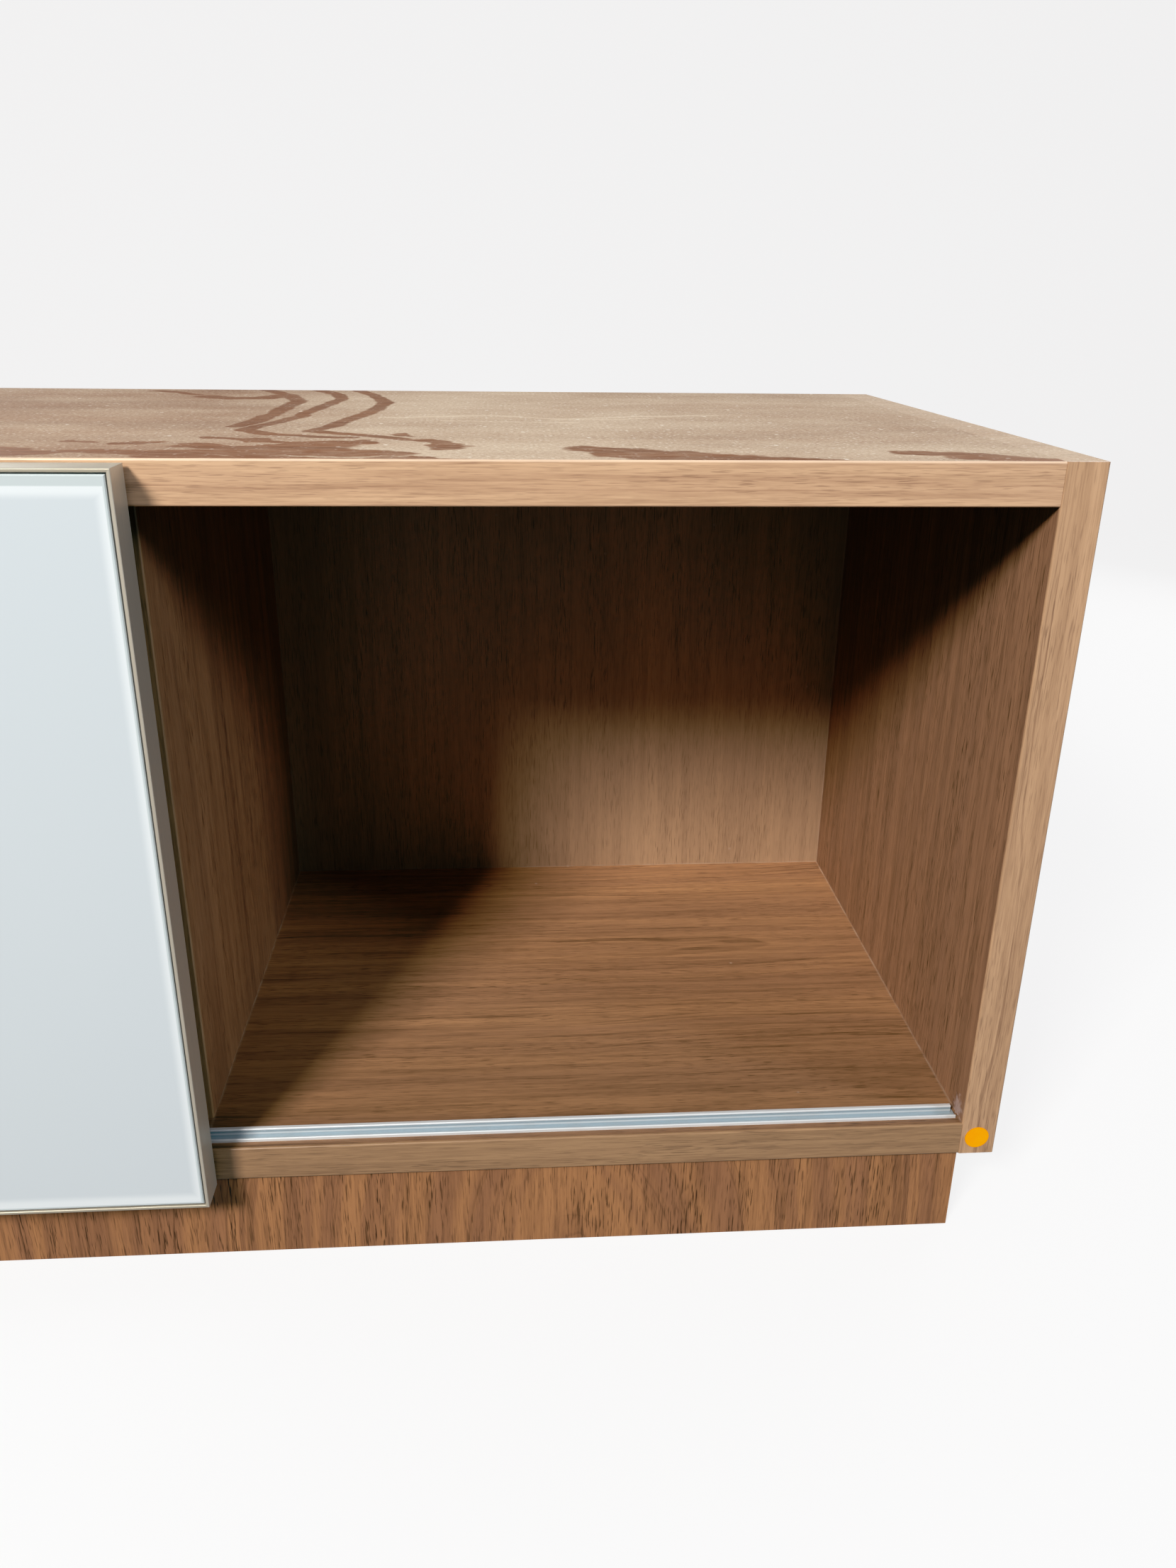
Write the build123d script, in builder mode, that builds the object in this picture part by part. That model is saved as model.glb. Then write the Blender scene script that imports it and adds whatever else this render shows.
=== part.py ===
"""Low two-bay sideboard with one overlay sliding door.

Millimetres, +Z up, the front faces -Y. The origin is on the floor, at the centre of the
footprint, which runs from the front of the door to the rear edges of the carcass.
"""

import os

from build123d import *

# ---------------------------------------------------------------- driving dimensions
# Carcass
bay_width = 578.0
board = 28.0
carcass_height = 528.0
carcass_depth = 540.0
back_board = 18.0
back_face_depth = 466.0  # from the carcass front to the back panel's face
divider_setback = 38.0
band = 2.0  # edging glued to the front edges
band_radius = 1.4

# Plinth
plinth_height = 72.0
plinth_board = 18.0
plinth_front_setback = 2.8
plinth_rear_setback = 20.0
corner_block = 40.0

# Sliding door
door_thickness = 25.0
door_gap = 3.4  # air between the door and the carcass front
door_overlap = 8.0  # reach past the divider, over the open bay
door_top_drop = 2.0
door_bottom_drop = 1.0
lip_width = 2.4
lip_radius = 0.7
frame_width = 40.0
frame_wall = 1.5
glass = 4.0
glass_recess = 0.3
glass_edge_gap = 1.0
glass_arris = 0.8
tape = 1.2
tape_width = 16.0
tape_edge_gap = 3.0  # from the glass edge to the tape
gasket_recess = 1.4  # from the glass front to the gasket
key_width = 26.0
key_screw_length = 10.0
key_screw_inset = 16.0
key_screw_end_gap = 10.0

# Running gear: the rib of the lower track and the upper channel share one centre plane
run_centre_depth = 15.3
rib_width = 3.6
rib_height = 7.2
rib_round = 0.8
rib_end_cut = 2.5  # the rib stops this much before the ends of the flange
rib_groove_height = 4.9
rib_groove_width = 0.7
rib_groove_depth = 0.5
track_base = 1.2
track_depth = 9.4
track_lip_width = 1.5
track_lip_height = 2.6
track_lip_round = 0.65
track_end_gap = 3.0
track_fin_width = 2.8
track_fin_depth = 7.0
channel_width = 12.0
channel_depth = 11.0
channel_wall = 1.5
channel_web = 2.0
track_screw_length = 14.0
tread_radius = 9.0
flange_height = 2.0
flange_chamfer = 0.6
flange_slope = 0.5
roller_width = 8.0
axle_radius = 2.0
axle_head = 1.2
axle_head_radius = 3.4
axle_head_chamfer = 0.4
spacer_radius = 3.2
bearing_radius = 6.5
bearing_width = 5.0
bearing_ring = 1.0
shield_depth = 0.3
hardware_inset = 70.0  # from the door's side edge to the middle of a bracket
bracket_plate = 2.0
bracket_bend_radius = 1.8
bracket_hole_inset = 8.0
bracket_screw_length = 7.0
roller_bracket_width = 36.0
roller_bracket_foot = 7.0  # above the door's lower edge
roller_bracket_shelf = 6.0  # above the bay floor
roller_bracket_crown = 6.0  # over the roller's flange
roller_bracket_pitch = 22.0
cheek_play = 2.4
guide_shoe_length = 30.0
guide_bracket_drop = 6.0  # below the door's upper edge
guide_bracket_shelf = 4.0  # below the bay ceiling
guide_bracket_pitch = 18.0
guide_bracket_corner = 3.0
shoe_screw_length = 9.0
stop_recess = 0.6
stop_hole_radius = 1.5
stop_hole_depth = 5.0
bumper = 3.0
bumper_inset = 1.0

# Fasteners
cam_radius = 7.5
cam_height = 18.0
cam_distance = 34.0
bolt_radius = 3.0
bolt_thread = 11.0
bolt_head_radius = 3.6
bolt_neck_radius = 2.0
bolt_head_length = 4.0
bolt_groove_length = 5.0
cam_slot_length = 7.0
cam_slot_width = 1.2
cam_slot_depth = 2.5
dowel_radius = 4.0
dowel_length = 34.0
dowel_in_face = 12.0
dowel_chamfer = 0.8
rail_dowel_length = 32.0
rail_dowel_in_board = 11.0
cam_depths = (100.0, 400.0)  # from the carcass front
dowel_depths = (140.0, 360.0)
screw_radius = 1.75
screw_head_radius = 3.4
pan_head_height = 2.2
pan_head_round = 1.5
driver_slot_width = 0.7
driver_slot_depth = 0.6
block_screw_length = 56.0
board_screw_length = 52.0
board_screw_offset = 8.0
steel_angle_leg = 20.0
steel_angle_width = 16.0
steel_angle_plate = 1.5
angle_screw_offset = 12.0
angle_screw_length = 14.0

# Marker on the right side panel
dot_radius = 9.5
dot_thickness = 0.2
dot_height = 15.0  # above the underside of the carcass
dot_shift = 1.0  # from the middle of the panel's edge, inwards

# Clearances
running_clearance = 0.05  # radial, on the roller bearings
groove_clearance = 0.1
groove_bottom_clearance = 1.0
rail_side_clearance = 0.3
rail_top_clearance = 0.1
shoe_clearance = 0.4
stop_clearance = 0.5
spacer_clearance = 0.3

# ---------------------------------------------------------------- worked-out places
width = 3 * board + 2 * bay_width
door_width = 2 * board + bay_width + door_overlap
front = (door_thickness + door_gap - carcass_depth) / 2
rear = front + carcass_depth
core_front = front + band
outer_x = width / 2
inner_x = outer_x - board
bay_edge_x = board / 2

underside = plinth_height
bay_floor = underside + board
top = underside + carcass_height
ceiling = top - board

back_face = front + back_face_depth
back_rear = back_face + back_board

door_rear = front - door_gap
door_front = door_rear - door_thickness
door_bottom = underside - door_bottom_drop
door_top = top - door_top_drop
door_left = -outer_x
door_right = door_left + door_width

run_y = front + run_centre_depth
rib_top = bay_floor + rib_height
axle_z = rib_top + tread_radius + rail_top_clearance
track_half_length = inner_x - track_end_gap
hardware_x = (door_left + hardware_inset, door_right - hardware_inset)

pieces = {}


# ---------------------------------------------------------------- shared shapes
def slab(x, y, z, mode=Mode.ADD):
    """A block over three (low, high) spans, added to the current part."""
    with BuildSketch(Plane.XY.offset(z[0])) as base:
        with Locations(((x[0] + x[1]) / 2, (y[0] + y[1]) / 2)):
            Rectangle(x[1] - x[0], y[1] - y[0])
    extrude(base.sketch, amount=z[1] - z[0], mode=mode)


def spot(point, z_dir, x_dir=None):
    """A location at a point, with its Z along z_dir."""
    return Plane(origin=point, x_dir=x_dir, z_dir=z_dir).location


def shifted(point, direction, distance):
    """The point moved along a direction."""
    return tuple(p + d * distance for p, d in zip(point, direction))


def reversed_direction(direction):
    """The opposite direction."""
    return tuple(-d for d in direction)


def edge_band(x, z, long_axis):
    """A strip of edging on the carcass front, its two long front arrises rounded."""
    with BuildPart() as strip:
        slab(x, (front, core_front), z)
        arrises = strip.edges().filter_by(long_axis).group_by(Axis.Y)[0]
        fillet(arrises, radius=band_radius)
    return strip


def driver_slots(height=0.0):
    """The cross recess in a screw head whose top is at this height."""
    with Locations((0, 0, height)):
        Box(screw_head_radius, driver_slot_width, 2 * driver_slot_depth, mode=Mode.SUBTRACT)
        Box(driver_slot_width, screw_head_radius, 2 * driver_slot_depth, mode=Mode.SUBTRACT)


def countersunk_screw(length):
    """A screw along -Z, the top of its 90 degree head at the origin."""
    with BuildPart() as screw:
        with BuildSketch(Plane.XZ):
            with BuildLine():
                Polyline(
                    (0, 0),
                    (screw_head_radius, 0),
                    (screw_radius, screw_radius - screw_head_radius),
                    (screw_radius, -length + screw_radius),
                    (0, -length),
                    close=True,
                )
            make_face()
        revolve(axis=Axis.Z)
        driver_slots()
    return screw.part


def pan_screw(length):
    """A screw along -Z with a domed head that stands on the origin's plane."""
    with BuildPart() as screw:
        with BuildSketch(Plane.XZ) as profile:
            with Locations((0, pan_head_height / 2)):
                Rectangle(2 * screw_head_radius, pan_head_height)
            upper = profile.vertices().group_by(Axis.Y)[-1]
            fillet(upper, radius=pan_head_round)
            with Locations((0, -length / 2)):
                Rectangle(2 * screw_radius, length)
            with Locations((-screw_head_radius, 0)):
                Rectangle(2 * screw_head_radius, 3 * length, mode=Mode.SUBTRACT)
        revolve(axis=Axis.Z)
        driver_slots(pan_head_height)
    return screw.part


def group_of(unit, places):
    """Copies of one solid at several locations, as one part."""
    with BuildPart() as group:
        with Locations(*places):
            add(unit)
    return group


def sunk_holes(places, depth):
    """Countersunk holes that fit the countersunk screws at the same places."""
    with Locations(*places):
        CounterSinkHole(screw_radius, screw_head_radius, depth, counter_sink_angle=90)


def plain_holes(places, radius, depth):
    """Straight holes of one size, drilled along -Z of each place."""
    with Locations(*places):
        Hole(radius, depth)


# ---------------------------------------------------------------- knock-down joints
# A joint lies on the face where two boards meet. run points into the board that holds
# the cam, and mouth points from the middle of that board to the face the cam opens on.
mid_top = top - board / 2
mid_bottom = underside + board / 2

side_joints = [
    ((side * inner_x, height), (-side, 0, 0), (0, 0, -1))
    for side in (-1, 1)
    for height in (mid_bottom, mid_top)
]
divider_joints = [
    ((0.0, bay_floor), (0, 0, 1), (-1, 0, 0)),
    ((0.0, ceiling), (0, 0, -1), (-1, 0, 0)),
]


def joint_point(joint, depth):
    """Where a joint's bolt or dowel crosses the face between the two boards."""
    (x, z), _, _ = joint
    return (x, front + depth, z)


def cam_places(joints):
    """At the mouth of each cam, Z pointing out of it and X towards the bolt."""
    places = []
    for joint in joints:
        _, run, mouth = joint
        for depth in cam_depths:
            centre = shifted(joint_point(joint, depth), run, cam_distance)
            face = shifted(centre, mouth, board / 2)
            places.append(spot(face, mouth, reversed_direction(run)))
    return places


def bolt_places(joints, depths=cam_depths):
    """At the face between the boards, Z pointing into the board that holds the cam."""
    return [
        spot(joint_point(joint, depth), joint[1]) for joint in joints for depth in depths
    ]


def bore_places(joints, depths=cam_depths):
    """At the face between the boards, Z pointing out of the board that holds the cam."""
    return [
        spot(joint_point(joint, depth), reversed_direction(joint[1]))
        for joint in joints
        for depth in depths
    ]


def drill_cam_board(joints):
    """Cam, bolt and dowel holes in the board that holds the cams."""
    plain_holes(cam_places(joints), cam_radius, cam_height)
    plain_holes(bore_places(joints), bolt_head_radius, cam_distance)
    plain_holes(bore_places(joints, dowel_depths), dowel_radius, dowel_length - dowel_in_face)


def drill_bolt_board(joints):
    """Thread and dowel holes in the face of the other board."""
    plain_holes(bolt_places(joints), bolt_radius, bolt_thread)
    plain_holes(bolt_places(joints, dowel_depths), dowel_radius, dowel_in_face)


with BuildPart() as cam_unit:
    Cylinder(cam_radius, cam_height, align=(Align.CENTER, Align.CENTER, Align.MAX))
    with Locations(spot((0, 0, -board / 2), (1, 0, 0))):
        Cylinder(
            bolt_head_radius,
            2 * cam_radius,
            align=(Align.CENTER, Align.CENTER, Align.CENTER),
            mode=Mode.SUBTRACT,
        )
    Box(cam_slot_width, cam_slot_length, 2 * cam_slot_depth, mode=Mode.SUBTRACT)
    Box(cam_slot_length, cam_slot_width, 2 * cam_slot_depth, mode=Mode.SUBTRACT)

with BuildPart() as bolt_unit:
    neck_start = cam_distance - bolt_head_length - bolt_groove_length
    neck_end = cam_distance - bolt_head_length
    with BuildSketch(Plane.XZ):
        with BuildLine():
            Polyline(
                (0, -bolt_thread),
                (bolt_radius, -bolt_thread),
                (bolt_radius, neck_start),
                (bolt_neck_radius, neck_start),
                (bolt_neck_radius, neck_end),
                (bolt_radius, neck_end),
                (bolt_radius, cam_distance),
                (0, cam_distance),
                close=True,
            )
        make_face()
    revolve(axis=Axis.Z)

with BuildPart() as dowel_unit:
    with Locations((0, 0, -dowel_in_face)):
        Cylinder(
            dowel_radius, dowel_length, align=(Align.CENTER, Align.CENTER, Align.MIN)
        )
    chamfer(dowel_unit.edges().filter_by(GeomType.CIRCLE), length=dowel_chamfer)

all_joints = side_joints + divider_joints
pieces["cam_housings"] = group_of(cam_unit.part, cam_places(all_joints))
pieces["cam_bolts"] = group_of(bolt_unit.part, bolt_places(all_joints))
pieces["wood_dowels"] = group_of(dowel_unit.part, bolt_places(all_joints, dowel_depths))

# ---------------------------------------------------------------- steel angles at the back
angle_x = [
    side * (bay_edge_x + bay_width * share) for side in (-1, 1) for share in (0.25, 0.75)
]
upper_angles = [spot((x, back_rear, ceiling), (0, 1, 0), (1, 0, 0)) for x in angle_x]
lower_angles = [spot((x, back_rear, bay_floor), (0, 1, 0), (-1, 0, 0)) for x in angle_x]
angle_places = upper_angles + lower_angles

with BuildPart() as angle_unit:
    leg_align = (Align.CENTER, Align.MIN, Align.MIN)
    Box(steel_angle_width, steel_angle_leg, steel_angle_plate, align=leg_align)
    Box(steel_angle_width, steel_angle_plate, steel_angle_leg, align=leg_align)
    angle_holes = [
        spot((0, angle_screw_offset, steel_angle_plate), (0, 0, 1)),
        spot((0, steel_angle_plate, angle_screw_offset), (0, 1, 0)),
    ]
    plain_holes(angle_holes, screw_radius, 2 * steel_angle_plate)

angle_screw_places = [place * hole for place in angle_places for hole in angle_holes]
pieces["back_brackets"] = group_of(angle_unit.part, angle_places)
pieces["back_bracket_screws"] = group_of(pan_screw(angle_screw_length), angle_screw_places)

# ---------------------------------------------------------------- tracks
fin_y = (run_y - track_fin_width / 2, run_y + track_fin_width / 2)
track_rear = run_y + rib_width / 2
track_front = track_rear - track_depth
track_x = (-track_half_length, track_half_length)
rib_x = (-track_half_length + rib_end_cut, track_half_length - rib_end_cut)
rib_y = (run_y - rib_width / 2, run_y + rib_width / 2)
channel_y = (run_y - channel_width / 2, run_y + channel_width / 2)
channel_top = ceiling + channel_depth
track_screw_x = [share * track_half_length for share in (-0.9, -0.3, 0.3, 0.9)]
track_screw_places = [
    spot((x, run_y, channel_top - channel_web), (0, 0, -1)) for x in track_screw_x
]

with BuildPart() as lower_track:
    slab(track_x, (track_front, track_rear), (bay_floor, bay_floor + track_base))
    slab(rib_x, rib_y, (bay_floor, rib_top))
    slab(
        track_x,
        (track_front, track_front + track_lip_width),
        (bay_floor, bay_floor + track_lip_height),
    )
    rib_arrises = lower_track.edges().filter_by(Axis.X).group_by(Axis.Z)[-1]
    fillet(rib_arrises, radius=rib_round)
    lip_arrises = (
        lower_track.edges()
        .filter_by(Axis.X)
        .filter_by_position(Axis.Y, track_front, track_front + track_lip_width)
        .group_by(Axis.Z)[-1]
    )
    fillet(lip_arrises, radius=track_lip_round)
    rib_groove_z = bay_floor + rib_groove_height
    slab(
        rib_x,
        (rib_y[0], rib_y[0] + rib_groove_depth),
        (rib_groove_z, rib_groove_z + rib_groove_width),
        mode=Mode.SUBTRACT,
    )
    slab(track_x, fin_y, (bay_floor - track_fin_depth, bay_floor))
pieces["lower_track"] = lower_track

with BuildPart() as upper_guide_track:
    slab(track_x, channel_y, (ceiling, channel_top))
    slab(
        track_x,
        (channel_y[0] + channel_wall, channel_y[1] - channel_wall),
        (ceiling, channel_top - channel_web),
        mode=Mode.SUBTRACT,
    )
    sunk_holes(track_screw_places, track_screw_length)
pieces["upper_guide_track"] = upper_guide_track
pieces["upper_track_screws"] = group_of(
    countersunk_screw(track_screw_length), track_screw_places
)

# Stops at the two ends of the upper channel, each with a rubber buffer
shoe_reach = hardware_inset - guide_shoe_length / 2
stop_face = outer_x - shoe_reach + stop_clearance
stop_y = (channel_y[0] + channel_wall, channel_y[1] - channel_wall)
stop_z = (ceiling + stop_recess, channel_top - channel_web)
left_stop = (-track_half_length, -stop_face - bumper)
right_stop = (stop_face + bumper, track_half_length)
stop_hole_places = [
    spot(((start + end) / 2, run_y, stop_z[0]), (0, 0, -1))
    for start, end in (left_stop, right_stop)
]

with BuildPart() as track_end_stops:
    for span in (left_stop, right_stop):
        slab(span, stop_y, stop_z)
    plain_holes(stop_hole_places, stop_hole_radius, stop_hole_depth)
pieces["track_end_stops"] = track_end_stops

with BuildPart() as end_stop_bumpers:
    for side in (-1, 1):
        slab(
            sorted((side * stop_face, side * (stop_face + bumper))),
            (stop_y[0] + bumper_inset, stop_y[1] - bumper_inset),
            (stop_z[0] + bumper_inset, stop_z[1] - bumper_inset),
        )
pieces["end_stop_bumpers"] = end_stop_bumpers

# ---------------------------------------------------------------- carcass boards
plinth_x = (-inner_x, inner_x)
plinth_front_y = front + plinth_front_setback
plinth_rear_y = rear - plinth_rear_setback
plinth_inner_y = (plinth_front_y + plinth_board, plinth_rear_y - plinth_board)
plinth_inner_x = inner_x - plinth_board
block_centres = [
    (side * (plinth_inner_x - corner_block / 2), end)
    for side in (-1, 1)
    for end in (plinth_inner_y[0] + corner_block / 2, plinth_inner_y[1] - corner_block / 2)
]
block_bottom = underside - corner_block
block_middle = underside - corner_block / 2
block_screw_places = [spot((x, y, block_bottom), (0, 0, -1)) for x, y in block_centres]
board_screw_places = []
for x, y in block_centres:
    inward_x = -1 if x > 0 else 1
    inward_y = 1 if y < (plinth_front_y + plinth_rear_y) / 2 else -1
    on_side = (x + inward_x * corner_block / 2, y - inward_y * board_screw_offset, block_middle)
    on_end = (
        x + inward_x * board_screw_offset,
        y + inward_y * corner_block / 2,
        block_middle - board_screw_offset,
    )
    board_screw_places.append(spot(on_side, (inward_x, 0, 0)))
    board_screw_places.append(spot(on_end, (0, inward_y, 0)))

with BuildPart() as top_panel:
    slab((-inner_x, inner_x), (core_front, rear), (ceiling, top))
    drill_cam_board([joint for joint in side_joints if joint[0][1] == mid_top])
    drill_bolt_board(divider_joints[1:])
    slab((-inner_x, inner_x), channel_y, (ceiling, channel_top), mode=Mode.SUBTRACT)
    plain_holes(track_screw_places, screw_radius, track_screw_length)
    plain_holes(angle_screw_places, screw_radius, angle_screw_length)
pieces["top_panel"] = top_panel

with BuildPart() as bottom_panel:
    slab((-inner_x, inner_x), (core_front, rear), (underside, bay_floor))
    drill_cam_board([joint for joint in side_joints if joint[0][1] == mid_bottom])
    drill_bolt_board(divider_joints[:1])
    slab(
        (-inner_x, inner_x),
        (fin_y[0] - groove_clearance, fin_y[1] + groove_clearance),
        (bay_floor - track_fin_depth - groove_bottom_clearance, bay_floor),
        mode=Mode.SUBTRACT,
    )
    plain_holes(angle_screw_places, screw_radius, angle_screw_length)
    plain_holes(block_screw_places, screw_radius, block_screw_length)
pieces["bottom_panel"] = bottom_panel

for name, side in (("left_side_panel", -1), ("right_side_panel", 1)):
    with BuildPart() as side_panel:
        slab(sorted((side * inner_x, side * outer_x)), (core_front, rear), (underside, top))
        drill_bolt_board([joint for joint in side_joints if joint[0][0] == side * inner_x])
    pieces[name] = side_panel

with BuildPart() as center_divider:
    slab(
        (-bay_edge_x, bay_edge_x),
        (front + divider_setback + band, back_face),
        (bay_floor, ceiling),
    )
    drill_cam_board(divider_joints)
pieces["center_divider"] = center_divider

with BuildPart() as back_panel:
    slab((-inner_x, inner_x), (back_face, back_rear), (bay_floor, ceiling))
    plain_holes(angle_screw_places, screw_radius, angle_screw_length)
pieces["back_panel"] = back_panel

pieces["top_edge_band"] = edge_band((-inner_x, inner_x), (ceiling, top), Axis.X)
pieces["bottom_edge_band"] = edge_band((-inner_x, inner_x), (underside, bay_floor), Axis.X)
pieces["left_edge_band"] = edge_band((-outer_x, -inner_x), (underside, top), Axis.Z)
pieces["right_edge_band"] = edge_band((inner_x, outer_x), (underside, top), Axis.Z)

with BuildPart() as divider_edge_band:
    slab(
        (-bay_edge_x, bay_edge_x),
        (front + divider_setback, front + divider_setback + band),
        (bay_floor, ceiling),
    )
    fillet(
        divider_edge_band.edges().filter_by(Axis.Z).group_by(Axis.Y)[0], radius=band_radius
    )
pieces["divider_edge_band"] = divider_edge_band

with BuildPart() as marker_dot:
    with BuildSketch(Plane.XZ.offset(-front)):
        with Locations((outer_x - board / 2 - dot_shift, underside + dot_height)):
            Circle(dot_radius)
    extrude(amount=dot_thickness)
pieces["marker_dot"] = marker_dot

# ---------------------------------------------------------------- plinth
rail_dowel_z = (plinth_height * 0.3, plinth_height * 0.7)
rail_dowel_places = [
    spot((0, y, z), (0, into, 0))
    for y, into in ((plinth_inner_y[0], 1), (plinth_inner_y[1], -1))
    for z in rail_dowel_z
]
rail_bore_places = [
    spot((0, y, z), (0, out_of, 0))
    for y, out_of in ((plinth_inner_y[0], -1), (plinth_inner_y[1], 1))
    for z in rail_dowel_z
]

with BuildPart() as plinth_front:
    slab(plinth_x, (plinth_front_y, plinth_inner_y[0]), (0, underside))
    plain_holes(board_screw_places, screw_radius, board_screw_length)
    plain_holes(rail_dowel_places, dowel_radius, rail_dowel_in_board)
pieces["plinth_front"] = plinth_front

with BuildPart() as plinth_rear:
    slab(plinth_x, (plinth_inner_y[1], plinth_rear_y), (0, underside))
    plain_holes(board_screw_places, screw_radius, board_screw_length)
    plain_holes(rail_dowel_places, dowel_radius, rail_dowel_in_board)
pieces["plinth_rear"] = plinth_rear

for name, side in (("plinth_left", -1), ("plinth_right", 1)):
    with BuildPart() as plinth_side:
        slab(
            sorted((side * plinth_inner_x, side * inner_x)), plinth_inner_y, (0, underside)
        )
        plain_holes(board_screw_places, screw_radius, board_screw_length)
    pieces[name] = plinth_side

with BuildPart() as plinth_cross_rail:
    slab((-plinth_board / 2, plinth_board / 2), plinth_inner_y, (0, underside))
    plain_holes(rail_bore_places, dowel_radius, rail_dowel_length - rail_dowel_in_board)
pieces["plinth_cross_rail"] = plinth_cross_rail

with BuildPart() as rail_dowel_unit:
    with Locations((0, 0, -rail_dowel_in_board)):
        Cylinder(
            dowel_radius, rail_dowel_length, align=(Align.CENTER, Align.CENTER, Align.MIN)
        )
    chamfer(rail_dowel_unit.edges().filter_by(GeomType.CIRCLE), length=dowel_chamfer)
pieces["plinth_dowels"] = group_of(rail_dowel_unit.part, rail_dowel_places)

with BuildPart() as plinth_corner_blocks:
    for x, y in block_centres:
        slab(
            (x - corner_block / 2, x + corner_block / 2),
            (y - corner_block / 2, y + corner_block / 2),
            (block_bottom, underside),
        )
    sunk_holes(block_screw_places, corner_block)
    sunk_holes(board_screw_places, corner_block)
pieces["plinth_corner_blocks"] = plinth_corner_blocks
pieces["plinth_block_screws"] = group_of(
    countersunk_screw(block_screw_length), block_screw_places
)
pieces["plinth_board_screws"] = group_of(
    countersunk_screw(board_screw_length), board_screw_places
)

# ---------------------------------------------------------------- door brackets
leg_front = door_rear
leg_rear = door_rear + bracket_plate
cheek_gap = roller_width + cheek_play
cheek_front = run_y - cheek_gap / 2
cheek_rear = run_y + cheek_gap / 2
shelf_bottom = bay_floor + roller_bracket_shelf
bracket_top = axle_z + tread_radius + flange_height + roller_bracket_crown
bracket_foot = door_bottom + roller_bracket_foot
guide_shelf_top = ceiling - guide_bracket_shelf
guide_leg_top = door_top - guide_bracket_drop
shoe_top = channel_top - channel_web - 2 * shoe_clearance
shoe_width = channel_width - 2 * channel_wall - 2 * shoe_clearance

roller_hole_z = bracket_foot + bracket_hole_inset
guide_hole_z = guide_leg_top - bracket_hole_inset
roller_bracket_holes = [
    [
        spot((x + side * roller_bracket_pitch / 2, leg_rear, roller_hole_z), (0, 1, 0))
        for side in (-1, 1)
    ]
    for x in hardware_x
]
guide_bracket_holes = [
    [
        spot((x + side * guide_bracket_pitch / 2, leg_rear, guide_hole_z), (0, 1, 0))
        for side in (-1, 1)
    ]
    for x in hardware_x
]
bracket_screw_places = [
    place for pair in roller_bracket_holes + guide_bracket_holes for place in pair
]
shoe_screw_places = [
    spot((x, run_y, guide_shelf_top - bracket_plate), (0, 0, -1)) for x in hardware_x
]


def roller_bracket(x, holes):
    """A folded steel strip: a leg on the door, a shelf over the board, and two cheeks."""
    plate = bracket_plate
    with BuildPart() as bracket:
        with BuildSketch(Plane.YZ.offset(x - roller_bracket_width / 2)) as section:
            with BuildLine():
                Polyline(
                    (leg_front, bracket_foot),
                    (leg_rear, bracket_foot),
                    (leg_rear, shelf_bottom),
                    (cheek_front, shelf_bottom),
                    (cheek_front, bracket_top - plate),
                    (cheek_rear, bracket_top - plate),
                    (cheek_rear, shelf_bottom),
                    (cheek_rear + plate, shelf_bottom),
                    (cheek_rear + plate, bracket_top),
                    (cheek_front - plate, bracket_top),
                    (cheek_front - plate, shelf_bottom + plate),
                    (leg_front, shelf_bottom + plate),
                    close=True,
                )
            make_face()
            bends = section.vertices().group_by(Axis.Y)[-1]
            fillet(bends, radius=bracket_bend_radius)
        extrude(amount=roller_bracket_width)
        sunk_holes(holes, 2 * plate)
        plain_holes([spot((x, cheek_rear + plate, axle_z), (0, 1, 0))], axle_radius, 2 * cheek_gap)
    return bracket


def guide_bracket(x, holes, shoe_hole):
    """A steel angle: a leg on the door and a shelf that carries the guide shoe."""
    with BuildPart() as bracket:
        with BuildSketch(Plane.YZ.offset(x - guide_shoe_length / 2)):
            with BuildLine():
                Polyline(
                    (leg_front, guide_leg_top),
                    (leg_rear, guide_leg_top),
                    (leg_rear, guide_shelf_top),
                    (run_y + channel_width / 2, guide_shelf_top),
                    (run_y + channel_width / 2, guide_shelf_top - bracket_plate),
                    (leg_front, guide_shelf_top - bracket_plate),
                    close=True,
                )
            make_face()
        extrude(amount=guide_shoe_length)
        corners = bracket.edges().filter_by(Axis.Z).group_by(Axis.Y)[-1]
        fillet(corners, radius=guide_bracket_corner)
        sunk_holes(holes, 2 * bracket_plate)
        sunk_holes([shoe_hole], 2 * bracket_plate)
    return bracket


def guide_shoe(x, shoe_hole):
    """A nylon block with rounded ends that slides in the upper channel."""
    with BuildPart() as shoe:
        with BuildSketch(Plane.XY.offset(guide_shelf_top)):
            with Locations((x, run_y)):
                SlotOverall(guide_shoe_length, shoe_width)
        extrude(amount=shoe_top - guide_shelf_top)
        plain_holes([shoe_hole], screw_radius, shoe_screw_length)
    return shoe


for index, side in enumerate(("left", "right")):
    x = hardware_x[index]
    pieces[f"{side}_roller_bracket"] = roller_bracket(x, roller_bracket_holes[index])
    pieces[f"{side}_guide_bracket"] = guide_bracket(
        x, guide_bracket_holes[index], shoe_screw_places[index]
    )
    pieces[f"{side}_guide_shoe"] = guide_shoe(x, shoe_screw_places[index])

pieces["bracket_screws"] = group_of(
    countersunk_screw(bracket_screw_length), bracket_screw_places
)
pieces["guide_shoe_screws"] = group_of(countersunk_screw(shoe_screw_length), shoe_screw_places)

# ---------------------------------------------------------------- rollers
bearing_half = bearing_width / 2
roller_half = roller_width / 2
flange_radius = tread_radius + flange_height
groove_half = rib_width / 2 + rail_side_clearance


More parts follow.
